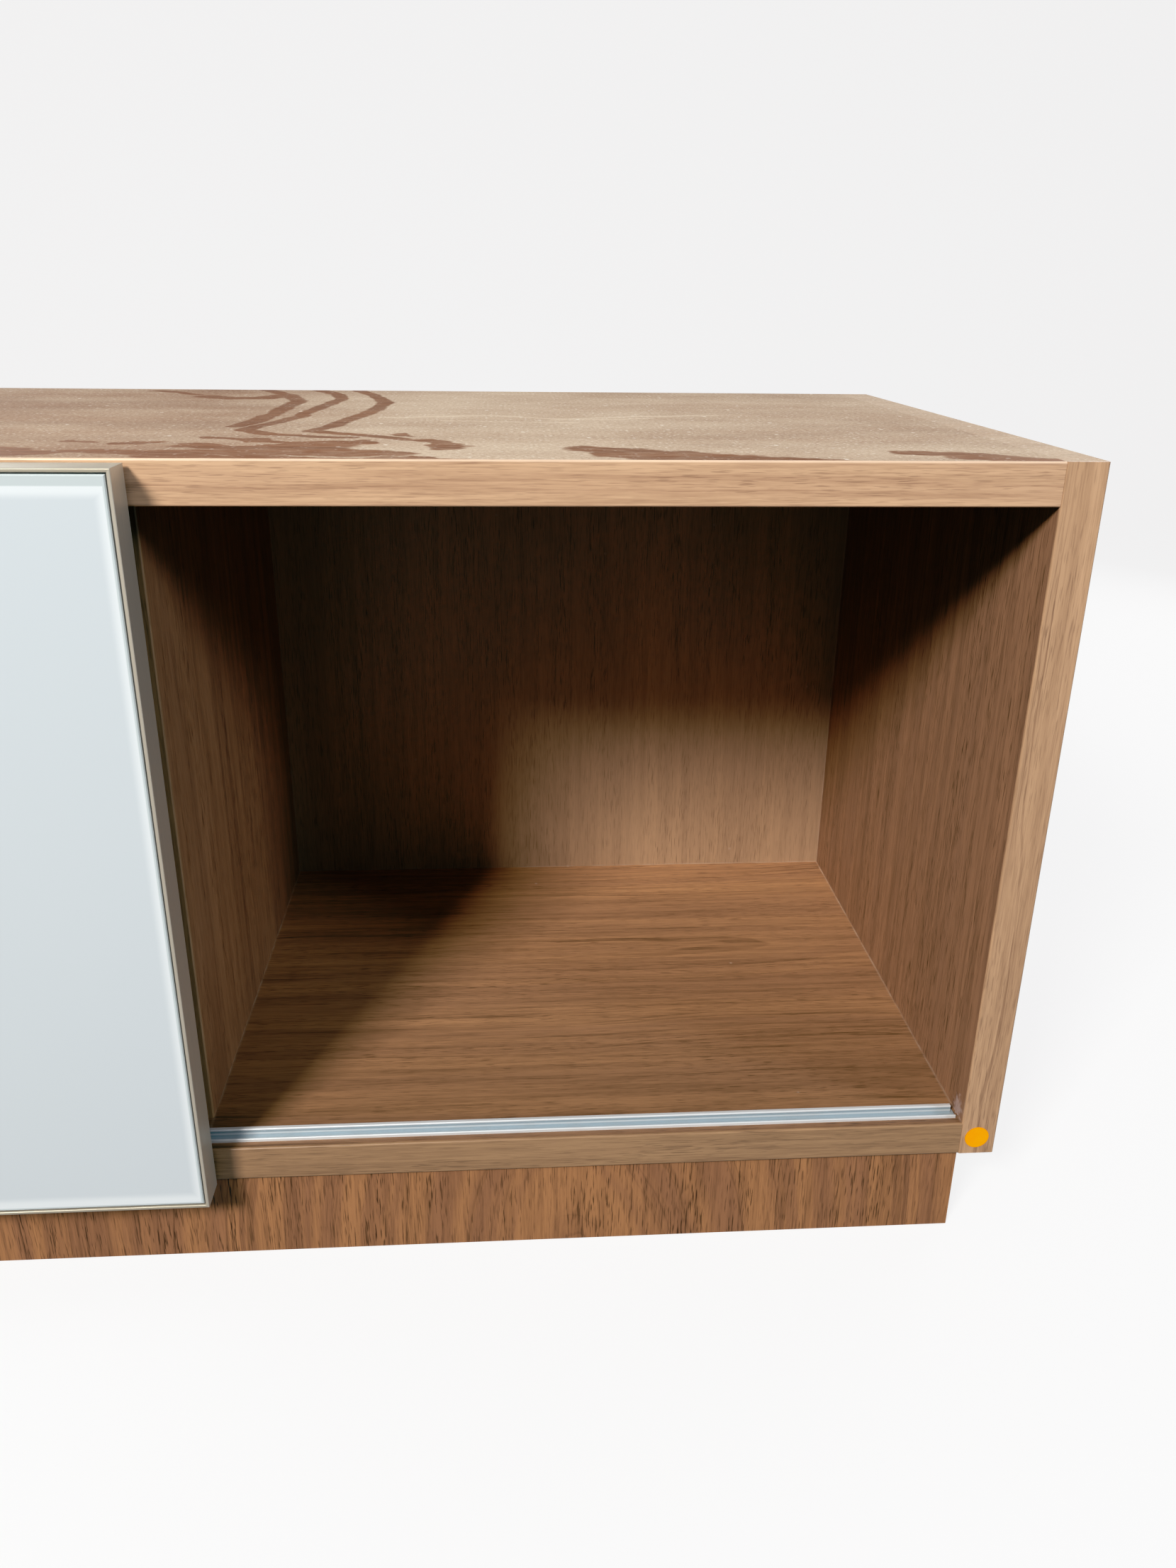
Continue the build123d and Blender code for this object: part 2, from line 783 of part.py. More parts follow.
def turned(x, outline):
    """A solid turned about a roller's axle, from (distance along the axle, radius) points."""
    centre = Plane(origin=(x, run_y, axle_z), x_dir=(0, 1, 0), z_dir=(1, 0, 0))
    with BuildPart() as piece:
        with BuildSketch(centre):
            with BuildLine():
                Polyline(*outline, close=True)
            make_face()
        revolve(axis=Axis((x, run_y, axle_z), (0, 1, 0)))
    return piece


roller_outline = [
    (-roller_half, bearing_radius),
    (-roller_half, flange_radius - flange_chamfer),
    (-roller_half + flange_chamfer, flange_radius),
    (-groove_half - flange_slope, flange_radius),
    (-groove_half, tread_radius),
    (groove_half, tread_radius),
    (groove_half + flange_slope, flange_radius),
    (roller_half - flange_chamfer, flange_radius),
    (roller_half, flange_radius - flange_chamfer),
    (roller_half, bearing_radius),
]
bearing_bore = axle_radius + running_clearance
bearing_outline = [
    (-bearing_half, bearing_bore),
    (-bearing_half, bearing_bore + bearing_ring),
    (-bearing_half + shield_depth, bearing_bore + bearing_ring),
    (-bearing_half + shield_depth, bearing_radius - bearing_ring),
    (-bearing_half, bearing_radius - bearing_ring),
    (-bearing_half, bearing_radius),
    (bearing_half, bearing_radius),
    (bearing_half, bearing_radius - bearing_ring),
    (bearing_half - shield_depth, bearing_radius - bearing_ring),
    (bearing_half - shield_depth, bearing_bore + bearing_ring),
    (bearing_half, bearing_bore + bearing_ring),
    (bearing_half, bearing_bore),
]
axle_start = cheek_front - bracket_plate - run_y
axle_end = cheek_rear + bracket_plate - run_y
axle_outline = [
    (axle_start - axle_head, 0),
    (axle_start - axle_head, axle_head_radius - axle_head_chamfer),
    (axle_start - axle_head + axle_head_chamfer, axle_head_radius),
    (axle_start, axle_head_radius),
    (axle_start, axle_radius),
    (axle_end, axle_radius),
    (axle_end, axle_head_radius),
    (axle_end + axle_head - axle_head_chamfer, axle_head_radius),
    (axle_end + axle_head, axle_head_radius - axle_head_chamfer),
    (axle_end + axle_head, 0),
]
spacer_length = cheek_gap / 2 - bearing_half - spacer_clearance

for index, side in enumerate(("left", "right")):
    x = hardware_x[index]
    pieces[f"{side}_roller"] = turned(x, roller_outline)
    pieces[f"{side}_roller_bearing"] = turned(x, bearing_outline)
    pieces[f"{side}_roller_axle"] = turned(x, axle_outline)

with BuildPart() as spacer_unit:
    Cylinder(spacer_radius, spacer_length, align=(Align.CENTER, Align.CENTER, Align.MIN))
    Cylinder(
        axle_radius,
        spacer_length,
        align=(Align.CENTER, Align.CENTER, Align.MIN),
        mode=Mode.SUBTRACT,
    )
spacer_places = [
    spot((x, y, axle_z), (0, into, 0))
    for x in hardware_x
    for y, into in ((cheek_front, 1), (cheek_rear, -1))
]
pieces["roller_spacers"] = group_of(spacer_unit.part, spacer_places)

# ---------------------------------------------------------------- door frame and glass
glass_seat = glass_recess + glass + tape  # from the lip's front to the hollow part
hollow_start = glass_seat + frame_wall
glass_inset = lip_width + glass_edge_gap
key_arm = hardware_inset - roller_bracket_width / 2 - 2 * frame_wall
key_screw_arm = key_arm - key_screw_end_gap

rail_starts = {
    "door_frame_top": ((door_left, door_top), (1, 0, 0), (0, 0, -1), door_width),
    "door_frame_right": ((door_right, door_top), (0, 0, -1), (-1, 0, 0), door_top - door_bottom),
    "door_frame_bottom": ((door_right, door_bottom), (-1, 0, 0), (0, 0, 1), door_width),
    "door_frame_left": ((door_left, door_bottom), (0, 0, 1), (1, 0, 0), door_top - door_bottom),
}
door_corners = [
    ((door_left, door_bottom), (1, 1)),
    ((door_right, door_bottom), (-1, 1)),
    ((door_left, door_top), (1, -1)),
    ((door_right, door_top), (-1, -1)),
]
key_screw_places = []
for (x, z), (inward_x, inward_z) in door_corners:
    for along_x, along_z in ((key_screw_arm, key_screw_inset), (key_screw_inset, key_screw_arm)):
        point = (x + inward_x * along_x, door_rear, z + inward_z * along_z)
        key_screw_places.append(spot(point, (0, 1, 0)))


def frame_rail(corner, along, inward, length):
    """One mitred rail. Its section has a front lip, a seat for the glass and a hollow."""
    origin = (corner[0], door_front, corner[1])
    start = Plane(origin=origin, x_dir=inward, z_dir=along)
    mitre_in = tuple(a - i for a, i in zip(along, inward))
    mitre_out = tuple(-a - i for a, i in zip(along, inward))
    far_corner = shifted(origin, along, length)
    with BuildPart() as rail:
        with BuildSketch(start) as section:
            with Locations((frame_width / 2, door_thickness / 2)):
                Rectangle(frame_width, door_thickness)
            with Locations((lip_width + frame_width / 2, glass_seat / 2)):
                Rectangle(frame_width, glass_seat, mode=Mode.SUBTRACT)
            fillet(section.vertices().group_by(Axis.Y)[0], radius=lip_radius)
            hollow_width = frame_width - 2 * frame_wall
            hollow_depth = door_thickness - hollow_start - frame_wall
            with Locations((frame_width / 2, hollow_start + hollow_depth / 2)):
                Rectangle(hollow_width, hollow_depth, mode=Mode.SUBTRACT)
        extrude(amount=length)
        split(bisect_by=Plane(origin=origin, z_dir=mitre_in), keep=Keep.TOP)
        split(bisect_by=Plane(origin=far_corner, z_dir=mitre_out), keep=Keep.TOP)
        sunk_holes(key_screw_places, key_screw_length)
        plain_holes(bracket_screw_places, screw_radius, bracket_screw_length)
    return rail


for name, (corner, along, inward, length) in rail_starts.items():
    pieces[name] = frame_rail(corner, along, inward, length)


def door_ring(outer_inset, inner_inset, y):
    """A flat rectangular ring inside the door's outline, over a (front, rear) span."""
    with BuildPart() as ring:
        with BuildSketch(Plane.XZ.offset(-y[1])):
            with Locations(((door_left + door_right) / 2, (door_bottom + door_top) / 2)):
                for inset, mode in ((outer_inset, Mode.ADD), (inner_inset, Mode.SUBTRACT)):
                    Rectangle(
                        door_width - 2 * inset, door_top - door_bottom - 2 * inset, mode=mode
                    )
        extrude(amount=y[1] - y[0])
    return ring


glass_front = door_front + glass_recess
glass_rear = glass_front + glass
tape_rear = glass_rear + tape
tape_inset = glass_inset + tape_edge_gap
gasket_front = glass_front + gasket_recess
pieces["door_glass_tape"] = door_ring(tape_inset, tape_inset + tape_width, (glass_rear, tape_rear))
pieces["door_edge_gasket"] = door_ring(lip_width, glass_inset, (gasket_front, tape_rear))

with BuildPart() as door_glass:
    with BuildSketch(Plane.XZ.offset(-glass_rear)):
        with Locations(((door_left + door_right) / 2, (door_bottom + door_top) / 2)):
            Rectangle(
                door_width - 2 * glass_inset, door_top - door_bottom - 2 * glass_inset
            )
    extrude(amount=glass)
    chamfer(door_glass.faces().sort_by(Axis.Y)[0].edges(), length=glass_arris)
pieces["door_glass"] = door_glass

key_y = (door_front + hollow_start, door_rear - frame_wall)
with BuildPart() as door_corner_keys:
    for (x, z), (inward_x, inward_z) in door_corners:
        start_x = x + inward_x * 2 * frame_wall
        start_z = z + inward_z * 2 * frame_wall
        long_x = sorted((start_x, start_x + inward_x * key_arm))
        short_x = sorted((start_x, start_x + inward_x * key_width))
        long_z = sorted((start_z, start_z + inward_z * key_arm))
        short_z = sorted((start_z, start_z + inward_z * key_width))
        slab(long_x, key_y, short_z)
        slab(short_x, key_y, long_z)
    sunk_holes(key_screw_places, key_screw_length)
pieces["door_corner_keys"] = door_corner_keys
pieces["door_corner_screws"] = group_of(countersunk_screw(key_screw_length), key_screw_places)

# ---------------------------------------------------------------- write the pieces
os.makedirs("parts", exist_ok=True)
for name, piece in pieces.items():
    piece.part.label = name
    export_step(piece.part, f"parts/{name}.step")
print("pieces:", len(pieces))
print("overall:", width, carcass_depth + door_gap + door_thickness, top)
print("door travel:", width - door_width)
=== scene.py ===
"""The looks of a low two-bay sideboard with one overlay sliding door.

Metres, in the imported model's frame: +Z up, the front faces -Y, and the origin is on the
floor at the centre of the footprint. The pieces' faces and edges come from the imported
nodes. The camera, the lights and the marks in the dust have their own places below.
"""

import math

import bpy
from mathutils import Euler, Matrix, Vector


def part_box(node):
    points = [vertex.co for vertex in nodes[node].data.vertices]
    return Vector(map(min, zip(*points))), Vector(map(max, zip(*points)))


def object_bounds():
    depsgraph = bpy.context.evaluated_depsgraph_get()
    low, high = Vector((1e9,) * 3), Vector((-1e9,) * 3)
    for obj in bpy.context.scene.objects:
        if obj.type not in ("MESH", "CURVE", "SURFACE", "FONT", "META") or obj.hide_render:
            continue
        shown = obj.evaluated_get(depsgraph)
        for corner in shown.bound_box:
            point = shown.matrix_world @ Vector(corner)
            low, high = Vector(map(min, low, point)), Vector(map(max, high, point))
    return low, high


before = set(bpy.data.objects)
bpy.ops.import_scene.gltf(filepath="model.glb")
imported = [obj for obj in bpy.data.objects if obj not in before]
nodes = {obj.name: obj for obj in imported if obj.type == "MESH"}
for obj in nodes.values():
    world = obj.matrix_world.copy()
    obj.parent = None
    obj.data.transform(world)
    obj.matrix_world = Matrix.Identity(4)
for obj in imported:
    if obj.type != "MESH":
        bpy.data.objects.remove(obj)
cad_low, cad_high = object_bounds()
MM = 0.001

# ---------------------------------------------------------------- places from the frame
top_low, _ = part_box("top_panel")
_, floor_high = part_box("bottom_panel")
back_low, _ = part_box("back_panel")
right_low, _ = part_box("right_side_panel")
_, left_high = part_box("left_side_panel")
divider_low, divider_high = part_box("center_divider")
glass_low, glass_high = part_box("door_glass")
track_low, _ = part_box("lower_track")
carcass_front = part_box("top_edge_band")[0].y
bay_floor = floor_high.z
back_face = back_low.y
bay_middle = Vector(((divider_high.x + right_low.x) / 2, carcass_front, bay_floor))

# ---------------------------------------------------------------- camera and light
# The photograph's viewing place and turn, in metres and degrees
CAMERA_PLACE = (0.2437, -0.9951, 0.6920)
CAMERA_TURN = (67.80, -0.68, -3.876)
CAMERA_LENS = 27.525
CAMERA_SENSOR = 36.0

KEY_DISTANCE = 3.2  # in front of the door
KEY_SLOPE = (-0.57, 0.80)  # to the left and upwards, for each metre in front
KEY_SIZE = 1.0
KEY_POWER = 266.0
KEY_COLOUR = (1.0, 0.965, 0.92)
# Each other light has a place in metres, a size in metres and a power in watts
SIDE_PLACE = (2.41, -1.48, 1.48)
SIDE_SIZE = (0.5, 0.5)
SIDE_POWER = 22.0
SIDE_COLOUR = (0.88, 1.0, 1.14)
CEILING_PLACE = (0.4, 0.7, 2.4)
CEILING_SIZE = (2.2, 1.4)
CEILING_POWER = 8.0
FRONT_PLACE = (0.15, -1.35, 2.3)
FRONT_SIZE = (1.2, 0.8)
FRONT_POWER = 4.0
REAR_PLACES = {"rear_left": (-1.8, 2.4, 1.3), "rear_right": (2.2, 1.6, 1.0)}
REAR_SIZE = (1.6, 1.2)
REAR_POWER = 14.0
REAR_SHINE = 0.2
AMBIENT = 0.08
AMBIENT_COLOUR = (0.78, 0.95, 1.22, 1.0)
REFLECTED = 0.35
REFLECTED_COLOUR = (0.95, 0.97, 1.0, 1.0)
BACKGROUND = (0.92, 0.92, 0.92, 1.0)

# The studio's paper sweep, in metres, and its two tones
SWEEP_HALF_WIDTH = 6.0
SWEEP_FRONT = -6.0
SWEEP_REAR = 4.5
SWEEP_RADIUS = 1.5
SWEEP_HEIGHT = 5.0
SWEEP_STEPS = 16
PAPER = (0.11, 0.11, 0.109, 1.0)
PAPER_FIBRE = (0.10, 0.10, 0.098, 1.0)
PAPER_GLOW = 0.83

# How the picture shows a dark value: red, then all three colours
RED_TOE = ((0.006, 0.0045), (0.016, 0.0105), (0.028, 0.0205), (0.05, 0.045), (0.08, 0.08))
SHADOW_TOE = (
    (0.005, 0.0015),
    (0.0125, 0.0054),
    (0.022, 0.0135),
    (0.035, 0.0295),
    (0.05, 0.048),
    (0.07, 0.07),
)


def srgb(red, green, blue):
    """A colour given in 0-255 screen values, as the linear values a shader takes."""

    def linear(value):
        share = value / 255
        return share / 12.92 if share <= 0.04045 else ((share + 0.055) / 1.055) ** 2.4

    return (linear(red), linear(green), linear(blue), 1.0)


# ---------------------------------------------------------------- shader nodes
AXES = {"X": 0, "Y": 1, "Z": 2}


class Graph:
    """A shader node tree. Each method adds what it names and returns an output socket."""

    def __init__(self, tree):
        self.tree = tree

    def add(self, kind, inputs=None, **settings):
        node = self.tree.nodes.new(kind)
        for name, value in settings.items():
            setattr(node, name, value)
        for key, value in (inputs or {}).items():
            if isinstance(value, bpy.types.NodeSocket):
                self.tree.links.new(value, node.inputs[key])
            else:
                node.inputs[key].default_value = value
        return node

    def math(self, operation, a, b=0.0, clamp=False):
        inputs = {0: a, 1: b}
        node = self.add("ShaderNodeMath", inputs, operation=operation, use_clamp=clamp)
        return node.outputs[0]

    def vector(self, operation, a, b=(0.0, 0.0, 0.0)):
        return self.add("ShaderNodeVectorMath", {0: a, 1: b}, operation=operation).outputs[0]

    def length(self, a):
        return self.add("ShaderNodeVectorMath", {0: a}, operation="LENGTH").outputs["Value"]

    def dot(self, a, b):
        node = self.add("ShaderNodeVectorMath", {0: a, 1: b}, operation="DOT_PRODUCT")
        return node.outputs["Value"]

    def part(self, vector, axis):
        return self.add("ShaderNodeSeparateXYZ", {0: vector}).outputs[axis]

    def join(self, x, y, z):
        return self.add("ShaderNodeCombineXYZ", {0: x, 1: y, 2: z}).outputs[0]

    def fit(self, value, low, high, to_low=0.0, to_high=1.0, smooth=False):
        """The value moved from one range to another, and kept inside it."""
        kind = "SMOOTHSTEP" if smooth else "LINEAR"
        inputs = {0: value, 1: low, 2: high, 3: to_low, 4: to_high}
        return self.add("ShaderNodeMapRange", inputs, interpolation_type=kind).outputs[0]

    def noise(self, vector, stretch, seed, detail=2.0, roughness=0.5, distortion=0.0):
        """Noise from 0 to 1, with this many features per metre along each axis."""
        placed = self.vector("MULTIPLY", vector, stretch)
        start = (seed, seed * 1.7, seed * 0.6)
        placed = self.vector("ADD", placed, start)
        inputs = {
            "Vector": placed,
            "Scale": 1.0,
            "Detail": detail,
            "Roughness": roughness,
            "Distortion": distortion,
        }
        return self.add("ShaderNodeTexNoise", inputs).outputs[0]

    def specks(self, vector, per_metre, radius, share):
        """Round specks, one at most in each cell, in this share of the cells."""
        inputs = {"Vector": vector, "Scale": per_metre}
        cells = self.add("ShaderNodeTexVoronoi", inputs)
        near = self.fit(cells.outputs["Distance"], radius, radius * 0.6)
        chance = self.part(cells.outputs["Color"], 0)
        return self.math("MULTIPLY", near, self.math("LESS_THAN", chance, share))

    def mix(self, amount, a, b):
        """Colour a where the amount is 0 and colour b where it is 1."""
        node = self.add("ShaderNodeMix", {0: amount, 6: a, 7: b}, data_type="RGBA")
        return node.outputs[2]

    def largest(self, values):
        """The largest of several masks."""
        result = values[0]
        for value in values[1:]:
            result = self.math("MAXIMUM", result, value)
        return result

    def bump(self, height, distance, strength=1.0):
        inputs = {"Height": height, "Distance": distance, "Strength": strength}
        return self.add("ShaderNodeBump", inputs).outputs[0]


class MaterialGraph(Graph):
    """One material's nodes. point is the shaded point, in metres in the model's frame."""

    def __init__(self, name):
        self.material = bpy.data.materials.new(name)
        self.material.use_nodes = True
        super().__init__(self.material.node_tree)
        self.tree.nodes.clear()
        self.point = self.add("ShaderNodeTexCoord").outputs["Object"]

    def along(self, order):
        """The point with its axes in this order: along the grain, across it, through it."""
        return self.join(*[self.part(self.point, AXES[axis]) for axis in order])

    def near_plane(self, axis, place, width):
        """1 on a plane across this axis, falling to 0 this far from it."""
        gap = self.math("SUBTRACT", self.part(self.point, AXES[axis]), place)
        return self.fit(self.math("ABSOLUTE", gap), width, width * 0.25)

    def finish(self, colour, roughness, normal=None, **sockets):
        """Ends the material with one Principled shader, and returns the material.

        A socket's name is written with underscores for its spaces.
        """
        shader = self.add("ShaderNodeBsdfPrincipled", {"Base Color": colour})
        sockets["Roughness"] = roughness
        if normal is not None:
            sockets["Normal"] = normal
        for key, value in sockets.items():
            socket = shader.inputs[key.replace("_", " ")]
            if isinstance(value, bpy.types.NodeSocket):
                self.tree.links.new(value, socket)
            else:
                socket.default_value = value
        output = self.add("ShaderNodeOutputMaterial")
        self.tree.links.new(shader.outputs[0], output.inputs[0])
        return self.material


def paint(material, *names):
    """Gives a material to CAD nodes."""
    for name in names:
        for slot in nodes[name].material_slots:
            slot.material = material


# ---------------------------------------------------------------- walnut decor
def walnut(graph, order, seed, tones, heart=(0.35, 0.25), lean=0.10, pitch=0.03,
           figure=0.6, lines=0.35, pores=0.6, strength=1.0):
    """Walnut cut from a log whose pith runs nearly along the grain.

    tones are the pale, the mauve and the dark tone. heart is the pith's place across the
    face and its depth behind it, lean the depth it gains per metre, and pitch the width of
    a band of growth. figure, lines, pores and strength say how strongly the bands, the dark
    lines, the pores and the streaks show. Returns the colour and the surface's height.
    """
    pale, mauve, dark = tones
    grain = graph.along(order)
    along = graph.part(grain, 0)
    across = graph.part(grain, 1)

    # the distance from a pith that sways and rises along the grain
    sway = graph.noise(grain, (1.8, 6.0, 6.0), seed, detail=2.0)
    rise = graph.noise(grain, (2.6, 3.0, 3.0), seed + 9.0, detail=1.0)
    ripple = graph.noise(grain, (9.0, 45.0, 45.0), seed + 3.0, detail=2.0)
    side = graph.math("ADD", across, graph.fit(sway, 0.0, 1.0, -0.03, 0.03))
    side = graph.math("SUBTRACT", side, heart[0])
    depth = graph.math("MULTIPLY", along, lean)
    depth = graph.math("ADD", depth, graph.fit(rise, 0.0, 1.0, -0.06, 0.06))
    depth = graph.math("ADD", depth, heart[1])
    radius = graph.length(graph.join(side, depth, 0.0))
    radius = graph.math("ADD", radius, graph.fit(ripple, 0.0, 1.0, -0.004, 0.004))

    # bands and lines of growth, which follow that distance
    turn = graph.math("DIVIDE", radius, pitch)
    growth = graph.join(turn, graph.math("MULTIPLY", along, 1.2), 0.0)
    band = graph.noise(growth, (1.0, 0.6, 1.0), seed + 11.0, detail=2.0)
    band = graph.fit(band, 0.36, 0.64, 0.0, figure, smooth=True)
    line = graph.noise(growth, (5.0, 1.0, 1.0), seed + 14.0, detail=2.0)
    line = graph.fit(line, 0.56, 0.72, 0.0, lines, smooth=True)

    # streaks, fibres and short dark pores along the grain
    streak = graph.noise(grain, (4.0, 130.0, 130.0), seed + 17.0, detail=4.0, roughness=0.65)
    fibre = graph.noise(grain, (26.0, 750.0, 750.0), seed + 21.0, detail=3.0, roughness=0.7)
    pore_field = graph.noise(grain, (60.0, 1150.0, 1150.0), seed + 27.0, detail=1.0)
    pore_gate = graph.noise(grain, (5.0, 60.0, 60.0), seed + 31.0, detail=3.0)
    pore = graph.fit(pore_field, 0.55, 0.68, smooth=True)
    pore = graph.math("MULTIPLY", pore, graph.fit(pore_gate, 0.35, 0.65, 0.2, 1.0))
    line = graph.math("MULTIPLY", line, graph.fit(pore_gate, 0.35, 0.60, 0.40, 1.0))

    colour = graph.mix(band, pale, mauve)
    streak = graph.fit(streak, 0.35, 0.75, -0.10, 0.46)
    strands = graph.math("ADD", streak, graph.fit(fibre, 0.35, 0.75, -0.12, 0.34))
    strands = graph.math("MULTIPLY", strands, strength)
    shade = graph.math("ADD", line, strands, clamp=True)
    colour = graph.mix(shade, colour, dark)
    pore_tone = (dark[0] * 0.45, dark[1] * 0.42, dark[2] * 0.42, 1.0)
    colour = graph.mix(graph.math("MULTIPLY", pore, pores), colour, pore_tone)
    height = graph.math("SUBTRACT", graph.math("MULTIPLY", fibre, 0.35), pore)
    return colour, height


DUST = srgb(215, 197, 172)
CRUMB = srgb(250, 243, 228)
CREVICE_DUST = srgb(176, 150, 126)


def corner_dust(graph, colour, planes, width, seed, face=None):
    """Pale dust gathered where a board meets its neighbours, in broken lines.

    face, an axis and a place on it, is the one face of the board that shows it.
    """
    lines = graph.largest([graph.near_plane(axis, place, width) for axis, place in planes])
    if face:
        lines = graph.math("MULTIPLY", lines, graph.near_plane(*face, 4.0 * MM))
    gaps = graph.noise(graph.point, (60.0, 60.0, 60.0), seed, detail=3.0)
    mask = graph.math("MULTIPLY", lines, graph.fit(gaps, 0.36, 0.62, 0.15, 0.85))
    return graph.mix(mask, colour, CREVICE_DUST)


def scattered_dust(graph, colour, per_metre, share, amount=0.8):
    """Small pale specks."""
    specks = graph.specks(graph.point, per_metre, 0.10, share)
    return graph.mix(graph.math("MULTIPLY", specks, amount), colour, CREVICE_DUST)


def dust_film_and_painted_light_pool(graph, colour, height, bare=0.0, extra=0.0):
    """The gritty film of dust on the top face, thinner in the middle and where it was wiped. Its
    spread across the top is partly painted light, standing in for the pool of the key light.

    bare is the mask of the wipes and extra a mask of thicker dust. Returns the colour, the
    roughness and the height.
    """
    x = graph.part(graph.point, 0)
    z = graph.part(graph.point, 2)
    on_top = graph.fit(z, cad_high.z - 1.0 * MM, cad_high.z - 0.2 * MM)

    # the film, thickest just right of the middle: this spread across the top is painted light,
    # standing in for the key light's pool; its drifts and its grit are dust
    rise = graph.fit(x, -0.02, 0.20, 0.46, 0.80, smooth=True)
    left_pool_rise = graph.fit(x, -0.25, -0.50, 0.0, 0.16, smooth=True)
    right_pool_fall = graph.fit(x, 0.22, 0.45, 0.0, 0.14, smooth=True)
    film = graph.math("SUBTRACT", graph.math("ADD", rise, left_pool_rise), right_pool_fall)
    drift = graph.noise(graph.point, (8.0, 14.0, 1.0), 75.0, detail=5.0, roughness=0.6)
    film = graph.math("ADD", film, graph.fit(drift, 0.3, 0.7, -0.20, 0.14))
    grit = graph.noise(graph.point, (330.0, 330.0, 1.0), 79.0, detail=3.0, roughness=0.8)
    film = graph.math("ADD", film, graph.fit(grit, 0.35, 0.65, -0.24, 0.20))
    film = graph.math("ADD", film, graph.math("MULTIPLY", extra, 0.22), clamp=True)
    film = graph.math("MULTIPLY", film, graph.fit(bare, 0.0, 1.0, 1.0, 0.04))
    film = graph.math("MULTIPLY", film, on_top)
    colour = graph.mix(film, colour, DUST)

    # pale crumbs of two sizes, most of them where the film is thick
    fine = graph.specks(graph.point, 260.0, 0.32, 0.26)
    large = graph.specks(graph.point, 66.0, 0.13, 0.24)
    crumbs = graph.math("ADD", graph.math("MULTIPLY", fine, 0.6), large, clamp=True)
    crumbs = graph.math("MULTIPLY", crumbs, graph.fit(film, 0.0, 0.6, 0.25, 1.0))
    crumbs = graph.math("MULTIPLY", crumbs, on_top)
    colour = graph.mix(graph.math("MULTIPLY", crumbs, 0.85), colour, CRUMB)
    roughness = graph.fit(film, 0.0, 0.6, 0.55, 0.85)
    relief = graph.math("MULTIPLY", grit, film)
    relief = graph.math("ADD", relief, graph.math("MULTIPLY", height, 0.2))
    return colour, roughness, relief


SCUFF_REACH = 6 * MM  # its centre, behind the track's front
SCUFF_RISE = 12 * MM  # and above the track's underside
SCUFF_RADIUS = 9 * MM
SCUFF_SOLID = 4 * MM  # the radius of its evenly rubbed middle
SCUFF_TONE = srgb(196, 176, 170)
# the colour of the painted highlight on the upper arris of the top's edging
ARRIS_HIGHLIGHT_TONE = srgb(240, 214, 186)
# painted shade at the front of the bays' floor and a painted sheen at its rear
FLOOR_SHADE_AT = (-0.24, 0.22)  # from the front of the floor to its rear
FLOOR_SHADE = (0.68, 1.48)


def track_scuff(graph, colour):
    """A pale rubbed patch on the side panel, where the end of the track stops."""
    centre = (right_low.x, track_low.y + SCUFF_REACH, track_low.z + SCUFF_RISE)
    reach = graph.vector("SUBTRACT", graph.point, centre)
    reach = graph.vector("MULTIPLY", reach, (1.0, 1.0, 0.75))
    ragged = graph.noise(graph.point, (260.0, 260.0, 260.0), 51.0, detail=4.0)
    edge = graph.math("ADD", graph.length(reach), graph.fit(ragged, 0.3, 0.7, -4 * MM, 4 * MM))
    patch = graph.fit(edge, SCUFF_RADIUS, SCUFF_SOLID, 0.0, 0.62)
    return graph.mix(patch, colour, SCUFF_TONE)


def painted_arris_highlight(graph, colour):
    """Painted highlight: a paler line along the upper arris of the top's edging, where light
    catches its rounding.
    """
    z = graph.part(graph.point, 2)
    arris = graph.fit(z, cad_high.z - 1.6 * MM, cad_high.z - 0.6 * MM)
    return graph.mix(graph.math("MULTIPLY", arris, 0.5), colour, ARRIS_HIGHLIGHT_TONE)


def painted_floor_shade_and_sheen(graph, colour):
    """Painted shade and sheen: the front of the bays' floor is painted darker and its rear lighter,
    as the light falls on it.
    """
    shade = graph.fit(graph.part(graph.point, 1), *FLOOR_SHADE_AT, *FLOOR_SHADE)
    return graph.vector("MULTIPLY", colour, graph.join(shade, shade, shade))


def board_material(name, order, seed, tones, dust_planes=(), gloss=0.40, shine=0.28,
                   dusty_top_with_painted_light=False, face=None, tone_change=None, **cut):
    """A melamine faced board: printed walnut under a satin, lightly pored skin.

    dust_planes are where its neighbours meet it and face is the face that shows that dust.
    tone_change is a function that changes the colour, for some boards with real wear and for others
    with painted light, and cut holds more values for walnut().
    """
    graph = MaterialGraph(name)
    colour, height = walnut(graph, order, seed, tones, **cut)
    if dust_planes:
        colour = corner_dust(graph, colour, dust_planes, 1.6 * MM, seed, face)
        colour = scattered_dust(graph, colour, 55.0, 0.05)
    # the colour change here is real wear on some boards and painted shade, sheen or highlight on
    # others
    if tone_change:
        colour = tone_change(graph, colour)
    smudge = graph.noise(graph.point, (7.0, 7.0, 7.0), seed + 41.0, detail=3.0)
    roughness = graph.fit(smudge, 0.3, 0.7, gloss - 0.05, gloss + 0.09)
    # dust on the top edge, with its spread across the top partly painted light
    if dusty_top_with_painted_light:
        colour, dusty, height = dust_film_and_painted_light_pool(graph, colour, height)
        roughness = graph.math("MAXIMUM", roughness, dusty)
    normal = graph.bump(height, 0.05 * MM, 0.6)
    return graph.finish(colour, roughness, normal, IOR=1.5, Specular_IOR_Level=shine)


